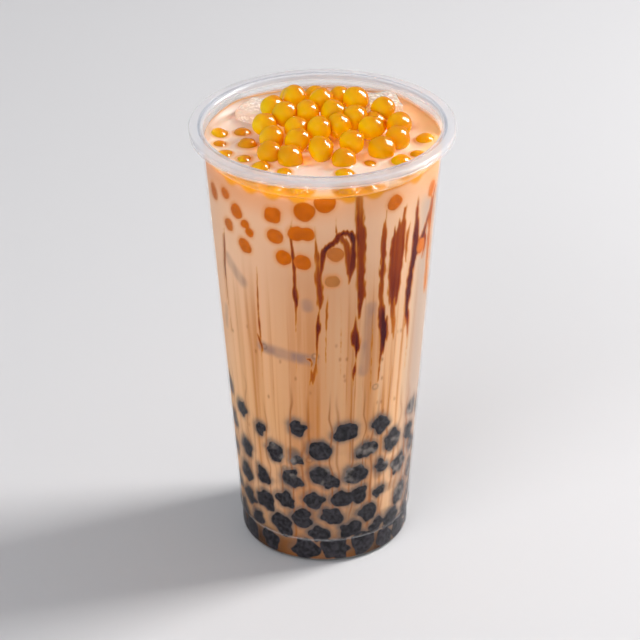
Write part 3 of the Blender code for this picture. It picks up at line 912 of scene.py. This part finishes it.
@dataclass
class WallStains:
    """What stains the tea at the wall, for many points of its side.

    The degrees run from -180 to 180, so what differs between the two sides fades out behind. The
    arms are the wall's radii in millimetres where each kind of stain lies.
    """

    deg: np.ndarray
    up: np.ndarray
    pearl_arm: float = 35.0
    bubble_arm: float = 36.0
    ice_arm: float = 37.5
    crumb_arm: float = 38.0
    brim_arm: float = 42.0

    def noise(self, columns: int, rows: int, seed: int, drift: np.ndarray | float = 0.0) -> np.ndarray:
        """Smooth noise of a seed, with so many cells round and up the wall."""
        return lattice(self.deg / 360 + drift, self.up / NOISE_HEIGHT, columns, rows, seed)

    def away(self, at: float, up: float, arm: float, squash: float = 1.0) -> np.ndarray:
        """Distance from a place, on a wall whose radius is the arm, in millimetres."""
        return np.hypot(np.radians(self.deg - at) * arm, squash * (self.up - up))

    def streaks(self) -> tuple[np.ndarray, np.ndarray]:
        """Find the upright bands that the dissolved syrup leaves.

        Returns:
            The share of the dark and of the pale colour.
        """
        drift = 0.006 * (self.noise(9, 3, 5) - 0.5)
        broad = self.noise(46, 2, 11, drift)
        middle = self.noise(104, 2, 12, drift)
        fine = self.noise(260, 3, 13, drift)
        right = rise(-12.0, 30.0, self.deg) * rise(178.0, 120.0, self.deg)
        shown = rise(140.0, 104.0, self.up) * (0.62 + 0.38 * right)
        shown *= 0.45 + 0.55 * rise(126.0, 92.0, self.up)
        shown *= rise(9.0, 22.0, self.up)
        dark = 0.42 * rise(0.5, 0.8, middle) + 0.22 * rise(0.45, 0.75, broad)
        dark += 0.75 * rise(0.58, 0.88, fine) * rise(0.2, 0.55, middle)
        crisp = rise(0.72, 0.86, self.noise(430, 2, 14, drift))
        dark = np.maximum(dark, 0.75 * crisp * rise(0.25, 0.6, middle))
        pale = 0.5 * rise(0.5, 0.9, 1 - middle) + 0.35 * rise(0.4, 0.8, 1 - fine)
        pale = np.maximum(pale, 0.8 * rise(0.74, 0.86, self.noise(430, 2, 15, drift)))
        return np.clip(dark * shown, 0, 1), np.clip(pale * shown * (0.25 + 0.75 * right), 0, 1)

    def drips(self) -> np.ndarray:
        """Find thin runs of syrup between the black pearls.

        Returns:
            How strong they are.
        """
        rng = np.random.default_rng(77)
        wobble = 2.2 * (self.noise(40, 26, 71) - 0.5)
        share = np.zeros_like(self.up)
        last, apart, stray = 176.0, 6.2, 2.2
        for at in np.arange(-last, last, apart):
            centre = at + rng.uniform(-stray, stray)
            half, strength = rng.uniform(0.22, 0.5), rng.uniform(0.35, 0.9)
            top, foot = rng.uniform(58.0, 84.0), rng.uniform(3.0, 26.0)
            across = ((self.deg - centre) * LOW_DEGREE_MM + wobble) / half
            fade = rise(top, top - 16.0, self.up) * rise(foot, foot + 6.0, self.up)
            share = np.maximum(share, strength * np.exp(-(across**2)) * fade)
        return share

    def runs(self, arm: np.ndarray) -> np.ndarray:
        """Find how thick the syrup on the wall is.

        Args:
            arm: The wall's inner radius at each point.

        Returns:
            The thickness, from 0 to 1.
        """
        cover = np.zeros_like(self.up)
        ragged = 0.55 * (self.noise(420, 70, 21) - 0.5) + 0.5 * (self.noise(150, 34, 22) - 0.5)
        grain = self.noise(520, 9, 23)
        comb = 5.0 * (lattice(self.deg / 360, 0 * self.up, 400, 1, 24) - 0.5)
        margin, margin_deg = 9.0, 8.0
        for run in SYRUP_RUNS:
            line = smooth_line(np.array(run, float))
            low, high = line.min(axis=0), line.max(axis=0)
            near = (self.up > low[1] - margin) & (self.up < high[1] + margin)
            near &= (self.deg > low[0] - margin_deg) & (self.deg < high[0] + margin_deg)
            if not near.any():
                continue
            dx = np.radians(self.deg[near][:, None] - line[:, 0]) * arm[near][:, None]
            upright = abs(line[0, 1] - line[-1, 1]) > 5 * (high[0] - low[0])
            level = self.up[near] + comb[near] * (1.0 if upright else 0.15)
            depth = line[:, 2] - np.hypot(dx, level[:, None] - line[:, 1])
            half, strength = line[depth.argmax(axis=1), 2:].T
            inside = depth.max(axis=1) + ragged[near] * np.clip(half, 0.35, 1.5)
            body = 0.22 + 0.78 * rise(0.0, 0.75, inside / np.clip(half, 0.5, 1.5))
            amount = rise(-0.5, 0.35, inside) * body * strength * (0.78 + 0.44 * grain[near])
            cover[near] = np.maximum(cover[near], amount)
        return np.clip(cover, 0, 1)

    def ice(self) -> np.ndarray:
        """Find how much sunk ice greys the tea.

        Returns:
            The ice's share.
        """
        shade = np.zeros_like(self.up)
        for (a0, z0), (a1, z1), half, strength in SUNK_ICE:
            x, x0, x1 = (np.radians(a) * self.ice_arm for a in (self.deg, a0, a1))
            dx, dz = x1 - x0, z1 - z0
            t = np.clip(((x - x0) * dx + (self.up - z0) * dz) / (dx**2 + dz**2), 0, 1)
            away = np.hypot(x - x0 - t * dx, self.up - z0 - t * dz)
            shade = np.maximum(shade, strength * rise(half * 1.35, half * 0.3, away))
        return shade * (0.7 + 0.6 * (self.noise(110, 50, 31) - 0.3))

    def blurred(self) -> np.ndarray:
        """Find how much black pearls that stop short of the wall shade the tea.

        Returns:
            The shade's share.
        """
        shades = [
            strength * rise(radius * 1.3, radius * 0.4, self.away(at, up, self.pearl_arm))
            for at, up, radius, strength in BLURRED_BEHIND
        ]
        return np.maximum.reduce(shades)

    def crumbs(self) -> np.ndarray:
        """Scatter specks of brown sugar that hang in the tea at the wall.

        Returns:
            The specks' share.
        """
        rng = np.random.default_rng(9)
        share = np.zeros_like(self.up)
        for _ in range(26):
            at, up = rng.uniform(-62.0, 62.0), rng.uniform(54.0, 100.0)
            speck = rise(0.75, 0.2, self.away(at, up, self.crumb_arm, 0.6))
            share = np.maximum(share, rng.uniform(0.3, 0.7) * speck)
        return share

    def bubbles(self) -> tuple[np.ndarray, np.ndarray]:
        """Find the bubbles on the wall.

        Returns:
            The share of their dark rings and of their pale middles.
        """
        ring, middle = np.zeros((2, *self.up.shape))
        for at, up, radius in BUBBLES:
            away = self.away(at, up, self.bubble_arm)
            ring = np.maximum(ring, np.exp(-(((away - radius) / 0.3) ** 2)))
            middle = np.maximum(middle, rise(radius * 0.75, radius * 0.3, away))
        return ring, middle


def nearness(points: np.ndarray, skins: np.ndarray, reach: float, lean: float) -> np.ndarray:
    """How near points of the tea's side are to pearls pressed on the wall.

    Args:
        points: The side's points.
        skins: Points of the pearls' pressed skins.
        reach: How far from a pearl the share drops to a third.
        lean: How far the haze leans to the upper left.

    Returns:
        A share for each point, 1 on a pearl.
    """
    tree = kdtree.KDTree(len(skins))
    for i, place in enumerate(skins):
        tree.insert(place, i)
    tree.balance()
    out = np.hypot(points[:, 0], points[:, 1])[:, None]
    across = np.stack([-points[:, 1], points[:, 0], 0 * points[:, 2]], axis=1) / out
    asked = points + lean * across - np.array((0.0, 0.0, lean))
    away = np.array([tree.find(place)[2] for place in asked])
    return np.exp(-((np.clip(away - 0.35, 0, None) / reach) ** 1.4))


@dataclass
class TeaBody:
    """The milk tea: its side against the wall, its underside and its open surface."""

    cup: CupShell
    level: float
    pearls: list[Pearl]
    pressed_black: np.ndarray
    pressed_gold: np.ndarray
    front_deg: float = 84.0
    fine_deg: float = 0.44
    coarse_deg: float = 1.6
    row_height: float = 0.5
    at_wall: float = 33.0
    climb: float = 0.85

    def contact(self, degrees: np.ndarray) -> np.ndarray:
        """Find where the tea meets the wall: low in front, drawn up behind and by the ice.

        Args:
            degrees: Places round the cup.

        Returns:
            The height at each place.
        """
        around = (degrees + 180.0) % 360.0 - 180.0
        height = self.level + 0.75 - 1.75 * np.cos(np.radians(degrees))
        for at, width, lift in DRAWN_UP:
            height = height + lift * np.exp(-(((around - at) / width) ** 2))
        return height

    def stains(self, verts: np.ndarray, deg: np.ndarray, up: np.ndarray) -> dict[str, np.ndarray]:
        """Work out the tea's stains at the wall, and the painted light, shade and glow laid over them.

        Args:
            verts: The side's points.
            deg: Their degrees from the front, between -180 and 180.
            up: Their heights.

        Returns:
            A share for each point, by the finish's names.
        """
        wall = WallStains(deg, up)
        dark, pale = wall.streaks()
        ring, middle = wall.bubbles()
        deep = wall.noise(44, 30, 41)
        left, behind = rise(16.0, -20.0, deg), rise(178.0, 120.0, deg)
        # Painted light: the tea paler on the right side, half way down
        light = rise(22.0, 62.0, deg) * behind * rise(40.0, 84.0, up)
        # Painted amber glow round the sunk golden pearls
        near_gold = 0.5 * nearness(verts, self.pressed_gold, 0.7, 0.1) * rise(100.0, 110.0, up)
        near_black = 0.85 * nearness(verts, self.pressed_black, 1.15, 0.35) * (0.75 + 0.4 * deep)
        sediment = 0.4 * rise(0.5, 0.8, deep) * rise(58.0, 30.0, up)
        line = up - self.contact(deg)
        # Painted amber glow just under the tea line in front, of light through the thin tea there
        brim = 0.85 * rise(-1.3, -0.2, line) * rise(100.0, 50.0, abs(deg))
        at_line = WallStains(deg, line)
        gilt = np.zeros_like(up)
        for x, y, _ in (pearl.centre for pearl in self.pearls):
            if math.hypot(x, y) > self.at_wall:
                away = at_line.away(math.degrees(math.atan2(x, -y)), 0.4, wall.brim_arm, 1.2)
                gilt = np.maximum(gilt, 0.9 * rise(4.4, 2.4, away))
        return {
            "tan": np.maximum(
                0.62 * np.exp(-(((deg + 4.0) / 32.0) ** 2)) * rise(158.0, 120.0, up),
                0.6 * rise(50.0, 70.0, deg) * behind * rise(138.0, 150.0, up),
            ),
            "streak": dark,
            # Pale streaks of syrup, painted light on the right side, and the pale middles of bubbles
            "pale": np.maximum(np.clip(pale + 0.6 * light, 0, 1) * (1 - 0.5 * dark), middle),
            # Painted shade over the right side, where the key lamp lights the tea
            "painted_side_shade": 0.9 * rise(46.0, 66.0, deg) * behind * rise(158.0, 142.0, up),
            "salmon": rise(143.0, 157.0, up) * np.clip(0.25 + 0.5 * left + rise(48.0, 70.0, deg), 0, 1),
            "glow": np.maximum(near_gold, brim),
            "gilt": gilt,
            "ice": wall.ice(),
            "murk": np.maximum.reduce([sediment, wall.blurred(), 0.5 * ring]),
            "halo": near_black * rise(1.0, 16.0, up),
            "drip": np.maximum(wall.drips() * rise(88.0, 70.0, up), wall.crumbs()),
            "syrup": wall.runs(self.cup.inner_radius(up)) * rise(66.0, 74.0, up),
        }

    def side(self, name: str, low: float, high: float | None) -> bpy.types.Object:
        """Build a stretch of the tea's side, its columns closer together where the front shows.

        Args:
            name: The piece's name.
            low: Where it starts.
            high: Where it ends, or None for the line where the tea meets the wall.

        Returns:
            The dressed piece.
        """
        front = np.arange(-self.front_deg, self.front_deg, self.fine_deg)
        columns = np.append(front, np.arange(self.front_deg, 360.0 - self.front_deg, self.coarse_deg))
        ends = self.contact(columns) if high is None else np.full_like(columns, high)
        rows = round((ends.max() - low) / self.row_height) + 1
        height = low + (ends - low)[None, :] * np.linspace(0.0, 1.0, rows)[:, None]
        degrees = np.broadcast_to(columns, height.shape)
        verts = round_axis(self.cup.skin_radius(height), np.radians(degrees), height)
        values = self.stains(verts, ((degrees + 180.0) % 360.0 - 180.0).ravel(), height.ravel())
        faces = grid_faces(rows, len(columns))
        return object_from(name, verts, faces, MilkTea().material(Face.WALL), values)

    def bottom(self, rings: int = 14, steps: int = 120) -> bpy.types.Object:
        """Build the tea's underside, which shows through the cup's clear base.

        Args:
            rings: Points from the middle to the edge.
            steps: Points round.

        Returns:
            The dressed piece.
        """
        low = self.cup.skin_floor
        radii = np.linspace(0.05, float(self.cup.skin_radius(low)) + 0.01, rings)[:, None]
        verts = round_axis(radii, np.linspace(0, math.tau, steps, endpoint=False), low)
        return object_from("tea_underside", verts, grid_faces(rings, steps), MilkTea().material(Face.WALL))

    def surface(self, rings: int = 150, steps: int = 480) -> bpy.types.Object:
        """Build the open surface, drawn up round the wall, the pearls and the ice.

        Args:
            rings: Points from the middle to the wall.
            steps: Points round.

        Returns:
            The dressed piece.
        """
        columns = np.linspace(-180.0, 180.0, steps, endpoint=False)
        contact = self.contact(columns)
        wall = self.cup.skin_radius(contact)
        radius = wall * np.linspace(0.012, 1.0, rings)[:, None]
        angle = np.radians(np.broadcast_to(columns, radius.shape))
        x, y = radius * np.sin(angle), -radius * np.cos(angle)
        away = wall - radius
        left, front = rise(0.3, -0.4, np.sin(angle)), rise(0.1, 0.8, np.cos(angle))
        lift = (contact - self.level) * np.exp(-away / (2.8 - 1.3 * left))
        u, v = x / 100 + 0.5, y / 100 + 0.5
        wave = 0.5 * (lattice(u, v, 13, 13, 51) - 0.5) + 0.25 * (lattice(u, v, 31, 31, 52) - 0.5)
        height = self.level + lift + wave * rise(0.0, 6.0, away)
        painted_meniscus_sheen, amber, gold = np.zeros((3, *x.shape))
        for pearl in self.pearls:
            reach = np.hypot(x - pearl.centre[0], y - pearl.centre[1])
            sunk = self.level - pearl.centre[2]
            line = math.sqrt(max(pearl.radius**2 - sunk**2, 0.0))
            gap = np.clip(reach - line, 0.0, None)
            if np.hypot(*pearl.centre[:2]) > self.at_wall:
                gold = np.maximum(gold, front * rise(6.2, 5.0, reach))
            if line < 0.5:
                continue
            height += self.climb * min(max(1 - sunk / pearl.radius, 0.05), 1.0) * np.exp(-gap / 0.75)
            # A painted sheen in a ring on the meniscus round each pearl
            painted_meniscus_sheen = np.maximum(painted_meniscus_sheen, np.exp(-(((gap - 1.0) / 0.6) ** 2)))
            # A painted amber glow round each pearl, of light come through the jelly
            amber = np.maximum(amber, 0.75 * np.exp(-gap / 0.8))
        # A painted amber glow near the wall, of light through the thin tea there, more in front and on the
        # right
        band = (0.3 + 0.55 * front) * np.exp(-((away / (3.5 + 3.0 * front)) ** 2))
        right = 0.8 * rise(0.3, 0.9, np.sin(angle)) * np.exp(-((away / 11.0) ** 2))
        amber = np.maximum.reduce([amber, band, right])
        stain = np.hypot((x - 30.0) / 4.2, (y - 13.5) / 4.0) + 0.5 * (lattice(u, v, 40, 40, 53) - 0.5)
        values = {
            "painted_meniscus_sheen": 0.7 * painted_meniscus_sheen * (1 - amber),
            "amber": np.clip(amber, 0, 1),
            "gold": np.maximum(gold, 0.9 * front * rise(1.6, 0.6, away)),
            "ruddy": 0.75 * rise(1.3, 0.4, stain),
            # Painted shade and more roughness where the meniscus at the left is drawn up sharply, facing
            # the lamp
            "steep_and_painted_shade": rise(0.15, 1.3, lift) * left,
        }
        verts = np.stack([x, y, height], axis=2).reshape(-1, 3)
        faces = grid_faces(rings, steps)[:, ::-1]
        return object_from("milk_tea_surface", verts, faces, MilkTea().material(Face.SURFACE), values)


@dataclass
class PearlBatch:
    """Many uneven pearls joined in one piece."""

    uneven: float
    lumps: float
    seed: int
    detail: int = 4
    coarse: float = 1.3

    def shapes(self, pearls: list[Pearl]) -> tuple[np.ndarray, np.ndarray, np.ndarray]:
        """Shape every pearl.

        Args:
            pearls: The pearls.

        Returns:
            Points by pearl, triangles of the joined mesh, and each point's unit direction.
        """
        rng = np.random.default_rng(self.seed)
        bm = bmesh.new()
        bmesh.ops.create_icosphere(bm, subdivisions=self.detail, radius=1.0)
        unit, faces = take_mesh(bm)
        shaped, joined, ways = [], [], []
        for i, pearl in enumerate(pearls):
            squash = rng.uniform(1 - self.uneven, 1 + self.uneven, 3)
            turn = np.array(Euler(rng.uniform(0, math.tau, 3)).to_matrix())
            shift = Vector(rng.uniform(0, 50, 3))
            lump = np.array([noise.noise(Vector(p) * self.coarse + shift) for p in unit])
            points = (unit * (1 + self.lumps * lump[:, None]) * squash) @ turn.T
            shaped.append(points * pearl.radius + pearl.centre)
            ways.append(points / np.linalg.norm(points, axis=1)[:, None])
            joined.append(faces + i * len(unit))
        return np.array(shaped), np.concatenate(joined), np.array(ways)


@dataclass
class WallPearls:
    """Pearls pressed flat against the cup's wall."""

    cup: CupShell
    radius: float
    depth: float
    proud: float = 0.06

    def place(self, degrees: float, height: float, size: float, veil: float) -> Pearl:
        """Put a pearl on the wall.

        Args:
            degrees: Where it is round the cup.
            height: Its height.
            size: Its radius as a share of the usual one.
            veil: How much tea or milk veils it.

        Returns:
            The pearl.
        """
        arm, angle = float(self.cup.skin_radius(height)) - self.depth, math.radians(degrees)
        centre = np.array([arm * math.sin(angle), -arm * math.cos(angle), height])
        return Pearl(centre, self.radius * size, veil)

    def press(self, points: np.ndarray) -> np.ndarray:
        """Flatten points on the wall and on the cup's floor.

        Args:
            points: The pearls' points, which are moved.

        Returns:
            Those that touch the wall.
        """
        points[..., 2] = np.maximum(points[..., 2], self.cup.skin_floor - self.proud)
        limit = self.cup.skin_radius(points[..., 2]) + self.proud
        reach = np.hypot(points[..., 0], points[..., 1])
        scale = np.minimum(limit / np.maximum(reach, 1e-6), 1.0)
        points[..., :2] *= scale[..., None]
        return points[scale < 1.0]


@dataclass
class BlackPearls(WallPearls):
    """The black pearls in the lowest third of the cup."""

    radius: float = 4.35
    depth: float = 2.4
    low: float = 6.0
    high: float = 62.0
    ring_height: float = 7.9
    first_deg: float = 88.0
    last_deg: float = 272.0
    apart_deg: float = 15.0
    stagger_deg: float = 6.5

    def behind(self) -> list[Pearl]:
        """Set out the pearls of the wall that faces away, in staggered rings.

        Returns:
            The pearls.
        """
        rng = np.random.default_rng(17)
        found = []
        for ring, height in enumerate(np.arange(self.low, self.high, self.ring_height)):
            first = self.first_deg + self.stagger_deg * (ring % 2)
            for degrees in np.arange(first, self.last_deg, self.apart_deg):
                if rng.random() < 0.25 * rise(40.0, self.high, np.array(height)):
                    continue
                level, at = height + rng.uniform(-1.4, 1.4), degrees + rng.uniform(-2, 2)
                found.append(self.place(at, level, rng.uniform(0.92, 1.18), rng.uniform(0, 0.3)))
        return found

    def build(self) -> tuple[bpy.types.Object, np.ndarray]:
        """Shape every pearl that touches the wall, press it flat and dress it.

        Returns:
            The piece, and the points that lie on the wall.
        """
        pearls = [self.place(*spot) for row in BLACK_AT_WALL for spot in row] + self.behind()
        points, faces, _ = PearlBatch(uneven=0.1, lumps=0.34, seed=3, coarse=1.5).shapes(pearls)
        touching = self.press(points)
        values = {"milk": np.repeat([pearl.veil for pearl in pearls], points.shape[1])}
        finish = BlackTapioca().material()
        return object_from("black_pearls_at_wall", points.reshape(-1, 3), faces, finish, values), touching


@dataclass
class SunkPearls(WallPearls):
    """The golden pearls that sank against the wall below the surface."""

    radius: float = 3.75
    depth: float = 2.2

    def build(self, ceiling: float) -> tuple[bpy.types.Object, np.ndarray]:
        """Shape the pearls, press them on the wall and dress them.

        Args:
            ceiling: The height that none of them passes.

        Returns:
            The piece, and the points that lie on the wall.
        """
        pearls = [self.place(*spot) for row in GOLD_AT_WALL for spot in row]
        points, faces, ways = PearlBatch(uneven=0.05, lumps=0.12, seed=5).shapes(pearls)
        outward = np.array([pearl.centre * (1, 1, 0) / np.hypot(*pearl.centre[:2]) for pearl in pearls])
        facing = np.einsum("ijk,ik->ij", ways, outward)
        touching = self.press(points)
        points[..., 2] = np.minimum(points[..., 2], ceiling)
        values = {
            "edge": np.clip(np.sqrt(np.clip(1 - facing**2, 0, 1)) / 0.84, 0, 1),
            "veil": 0.95 * np.repeat([pearl.veil for pearl in pearls], points.shape[1]),
        }
        finish = SunkTapioca().material()
        return object_from("sunk_golden_pearls", points.reshape(-1, 3), faces, finish, values), touching


@dataclass
class GoldenPearls:
    """The golden pearls above the tea: the heap, and those that float on their own.

    Their colour is painted with a glow on the side that faces away from the lamp.
    """

    level: float
    nodes: list[str]
    radius: float = 4.5
    lamp_way: tuple[float, float, float] = (0.74, 0.24, 0.63)

    def heaped(self) -> list[Pearl]:
        """Set out the heap, its lowest pearls wettest with tea.

        Returns:
            The heap's pearls.
        """
        rng = np.random.default_rng(8)
        found = []
        for x, y, up in (spot for row in HEAPED_PEARLS for spot in row):
            wet = 0.1 + 0.5 * float(rise(6.5, 1.5, np.array(up)))
            centre = np.array([x, y, self.level + up])
            found.append(Pearl(centre, self.radius * rng.uniform(0.96, 1.05), wet))
        return found

    def floating(self) -> list[Pearl]:
        """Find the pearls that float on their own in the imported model.

        Returns:
            Those pearls.
        """
        found = []
        for node, depth in zip(self.nodes, FLOATER_DEPTHS):
            low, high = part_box(node)
            found.append(Pearl(np.array((low + high) / 2) / MM, (high.z - low.z) / 2 / MM, depth))
        return found

    def crowding(self, points: np.ndarray, pearls: list[Pearl]) -> np.ndarray:
        """How near each point is to another pearl or to the tea, where less light gets in: painted shade.

        Args:
            points: Points by pearl.
            pearls: The pearls.

        Returns:
            A share for each point, 1 where pearls touch.
        """
        centres = np.array([pearl.centre for pearl in pearls])
        radii = np.array([pearl.radius for pearl in pearls])
        shares = []
        for i, skin in enumerate(points):
            gap = np.linalg.norm(skin[:, None] - centres, axis=2) - radii
            gap[:, i] = np.inf
            near = np.exp(-np.clip(gap.min(axis=1), 0, None) / 1.1)
            shares.append(np.maximum(near, 0.7 * np.exp(-np.clip(skin[:, 2] - self.level, 0, None) / 0.9)))
        return np.concatenate(shares)

    def build(self, name: str, pearls: list[Pearl], seed: int) -> bpy.types.Object:
        """Shape pearls and dress them.

        Args:
            name: The piece's name.
            pearls: The pearls.
            seed: Which random shapes.

        Returns:
            The dressed piece.
        """
        points, faces, ways = PearlBatch(uneven=0.045, lumps=0.08, seed=seed).shapes(pearls)
        values = {
            # A painted glow, by how far each point faces away from the lamp
            "glow": 0.5 - 0.5 * (ways @ np.array(Vector(self.lamp_way).normalized())),
            "sunk": np.repeat([pearl.veil for pearl in pearls], points.shape[1]),
            # Painted shade where pearls touch one another or sit in the tea
            "painted_crowd_shade": self.crowding(points, pearls),
        }
        return object_from(name, points.reshape(-1, 3), faces, GoldenTapioca().material(), values)


@dataclass
class IceCube:
    """One melting ice cube."""

    name: str
    centre: tuple[float, float, float]
    edges: tuple[float, float, float]
    tilt_deg: tuple[float, float, float]
    seed: int
    edge_round: float = 2.0
    melt: float = 1.1
    melt_width: float = 6.0

    def build(self) -> bpy.types.Object:
        """Round the cube, melt its faces a little and dress it.

        Returns:
            The dressed cube.
        """
        bm = bmesh.new()
        bmesh.ops.create_cube(bm, size=1.0)
        bmesh.ops.scale(bm, vec=self.edges, verts=bm.verts)
        bmesh.ops.bevel(
            bm, geom=list(bm.edges), offset=self.edge_round, segments=4, profile=0.6, affect="EDGES"
        )
        bmesh.ops.triangulate(bm, faces=bm.faces)
        bmesh.ops.subdivide_edges(bm, edges=bm.edges, cuts=3, use_grid_fill=True)
        shift = Vector((self.seed * 7.3, 1.7, 4.1))
        for vert in bm.verts:
            vert.co += vert.co.normalized() * self.melt * noise.noise(vert.co / self.melt_width + shift)
        shares = [[abs(c) / edge for c, edge in zip(vert.co, self.edges)] for vert in bm.verts]
        off_centre = np.sort(shares, axis=1)
        turn = Euler([math.radians(angle) for angle in self.tilt_deg]).to_matrix().to_4x4()
        bmesh.ops.transform(bm, matrix=Matrix.Translation(self.centre) @ turn, verts=bm.verts)
        bmesh.ops.triangulate(bm, faces=bm.faces)
        points, faces = take_mesh(bm)
        core = rise(0.49, 0.3, off_centre[:, 1])
        return object_from(self.name, points, faces, CloudyIce().material(), {"core": core})


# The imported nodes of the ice, and the cubes that stand for them
ICE_CUBES = {
    "ice_left": IceCube("ice_cube_left", (-21.5, 23.0, 156.6), (15.5, 13.5, 12.5), (5.0, -6.0, -30.0), 1),
    "ice_right": IceCube("ice_cube_right", (21.0, 24.2, 158.6), (13.5, 11.5, 12.5), (7.0, 6.0, 24.0), 2),
}


@dataclass
class WallFilm:
    """The film of tea on the inside of the wall above the surface."""

    tea: TeaBody
    height: float = 3.2
    overlap: float = 0.1
    clearance: float = 0.06

    def build(self, rows: int = 14, steps: int = 360) -> bpy.types.Object:
        """Build the film as a thin ring that thins out upwards.

        Args:
            rows: Points up.
            steps: Points round.

        Returns:
            The dressed piece.
        """
        columns = np.linspace(-180.0, 180.0, steps, endpoint=False)
        share = np.linspace(0.0, 1.0, rows)[:, None]
        angle = np.radians(columns)
        back = 0.25 + 0.75 * rise(-0.4, 0.7, -np.cos(angle))
        uneven = 0.7 + 0.6 * lattice(columns / 360, columns * 0, 23, 1, 61)
        top = self.height * back * (0.8 + 0.3 * np.sin(angle)) * uneven
        height = self.tea.contact(columns) - self.overlap + top * share
        verts = round_axis(self.tea.cup.inner_radius(height) - self.clearance, angle, height)
        wet = (1 - share) ** 1.2 * (0.45 + 0.55 * back)
        return object_from("tea_film", verts, grid_faces(rows, steps), TeaFilm().material(), {"wet": wet})


@dataclass
class Studio:
    """The floor, the lamps and the camera."""

    focal_px: float = 2858.21
    frame_px: float = 640.0
    sensor: float = 36.0
    camera_place: tuple[float, float, float] = (0.0, -0.91864, 0.59543)
    pitch: float = 0.50606
    yaw: float = -0.00144
    roll: float = -0.00696
    floor_half: float = 3000.0

    def floor(self) -> bpy.types.Object:
        """Lay a plain pale floor.

        Returns:
            The floor.
        """
        places = np.linspace(-self.floor_half, self.floor_half, 9)
        x, y = np.meshgrid(places, places)
        verts = np.stack([x, y, 0 * x], axis=2).reshape(-1, 3)
        return object_from("floor", verts, grid_faces(9, 9, closed=False), PaintedBoard().material())

    def lamp(
        self, name: str, place: tuple[float, float, float], size: tuple[float, float], power: float
    ) -> bpy.types.Object:
        """Hang a soft box that faces the top of the cup.

        Args:
            name: The lamp's name.
            place: Where it hangs, in metres.
            size: Its width and height, in metres.
            power: Its power in watts.

        Returns:
            The lamp.
        """
        data = bpy.data.lights.new(name, "AREA")
        data.shape = "RECTANGLE"
        data.size, data.size_y = size
        data.energy = power
        lamp = bpy.data.objects.new(name, data)
        lamp.location = place
        lamp.rotation_mode = "QUATERNION"
        lamp.rotation_quaternion = (Vector(place) - Vector((0, 0, 0.1))).to_track_quat("Z", "Y")
        bpy.context.scene.collection.objects.link(lamp)
        return lamp

    def light(self) -> None:
        """Hang the lamps and set the even light from all round. Only the window shows in gloss."""
        key = self.lamp("key_soft_box", (1.05, 0.36, 0.98), (0.4, 0.6), 20.0)
        key.data.color = linear("#FFFCF8")[:3]
        fill = self.lamp("fill_soft_box", (-1.0, -1.5, 1.0), (1.6, 1.2), 20.5)
        window = self.lamp("window", (1.05, 0.36, 0.98), (0.5, 1.0), 110.0)
        key.visible_glossy = fill.visible_glossy = False
        window.visible_diffuse = window.visible_transmission = False
        world = bpy.data.worlds.new("studio")
        world.use_nodes = True
        background = world.node_tree.nodes["Background"]
        background.inputs["Color"].default_value = linear("#EEF0F4")
        background.inputs["Strength"].default_value = 0.33
        bpy.context.scene.world = world

    def camera(self) -> bpy.types.Object:
        """Set the camera where the photograph was taken from.

        Returns:
            The camera.
        """
        data = bpy.data.cameras.new("camera")
        data.sensor_width = self.sensor
        data.lens = self.focal_px * self.sensor / self.frame_px
        data.clip_start, data.clip_end = 0.01, 20.0
        level = math.cos(self.pitch)
        ahead = Vector((math.sin(self.yaw) * level, math.cos(self.yaw) * level, -math.sin(self.pitch)))
        right = Vector((math.cos(self.yaw), -math.sin(self.yaw), 0.0))
        up = right.cross(ahead)
        c, s = math.cos(self.roll), math.sin(self.roll)
        right, up = c * right + s * up, -s * right + c * up
        camera = bpy.data.objects.new("camera", data)
        turn = Matrix((right, up, -ahead)).transposed().to_4x4()
        camera.matrix_world = Matrix.Translation(self.camera_place) @ turn
        bpy.context.scene.collection.objects.link(camera)
        return camera

    def build(self) -> None:
        """Set up everything that isn't part of the drink."""
        self.floor()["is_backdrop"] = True
        self.light()
        scene = bpy.context.scene
        scene.camera = self.camera()
        scene.view_settings.view_transform = "Standard"


def carry(piece: bpy.types.Object, slot: str, *nodes: str) -> None:
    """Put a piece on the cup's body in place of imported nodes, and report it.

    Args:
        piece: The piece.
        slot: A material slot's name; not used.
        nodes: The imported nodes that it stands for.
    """
    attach(piece, BODY)
    if nodes:
        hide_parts(*nodes)
    LOG.info("%s: %d faces", piece.name, len(piece.data.polygons))


def main() -> None:
    """Build every piece of the drink, then the studio round it."""
    logging.basicConfig(level=logging.INFO, format="%(name)s %(message)s")
    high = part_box("cup")[1]
    cup = CupShell(height=high.z / MM, rim_radius=high.x / MM)
    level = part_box("milk_tea")[1].z / MM
    bed_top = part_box("black_pearls")[1].z / MM
    floaters = sorted(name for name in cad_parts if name.startswith("golden_pearl"))

    black, pressed_black = BlackPearls(cup).build()
    sunk, pressed_gold = SunkPearls(cup).build(ceiling=level - 1.0)
    golden = GoldenPearls(level, floaters)
    heaped, floating = golden.heaped(), golden.floating()
    tea = TeaBody(cup, level, heaped + floating, pressed_black, pressed_gold)

    carry(cup.build(), "clear_plastic", "cup")
    carry(tea.side("milk_tea_side", bed_top, None), "milk_tea", "milk_tea")
    carry(tea.side("tea_round_black_pearls", cup.skin_floor, bed_top), "milk_tea")
    carry(tea.bottom(), "milk_tea")
    carry(tea.surface(), "milk_tea")
    carry(black, "black_tapioca", "black_pearls")
    carry(sunk, "golden_tapioca")
    carry(golden.build("golden_pearl_heap", heaped, seed=6), "golden_tapioca", "golden_heap")
    carry(golden.build("floating_golden_pearls", floating, seed=9), "golden_tapioca", *floaters)
    for node, cube in ICE_CUBES.items():
        carry(cube.build(), "ice", node)
    carry(WallFilm(tea).build(), "milk_tea")
    Studio().build()

    low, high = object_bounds()


if __name__ == "__main__":
    main()
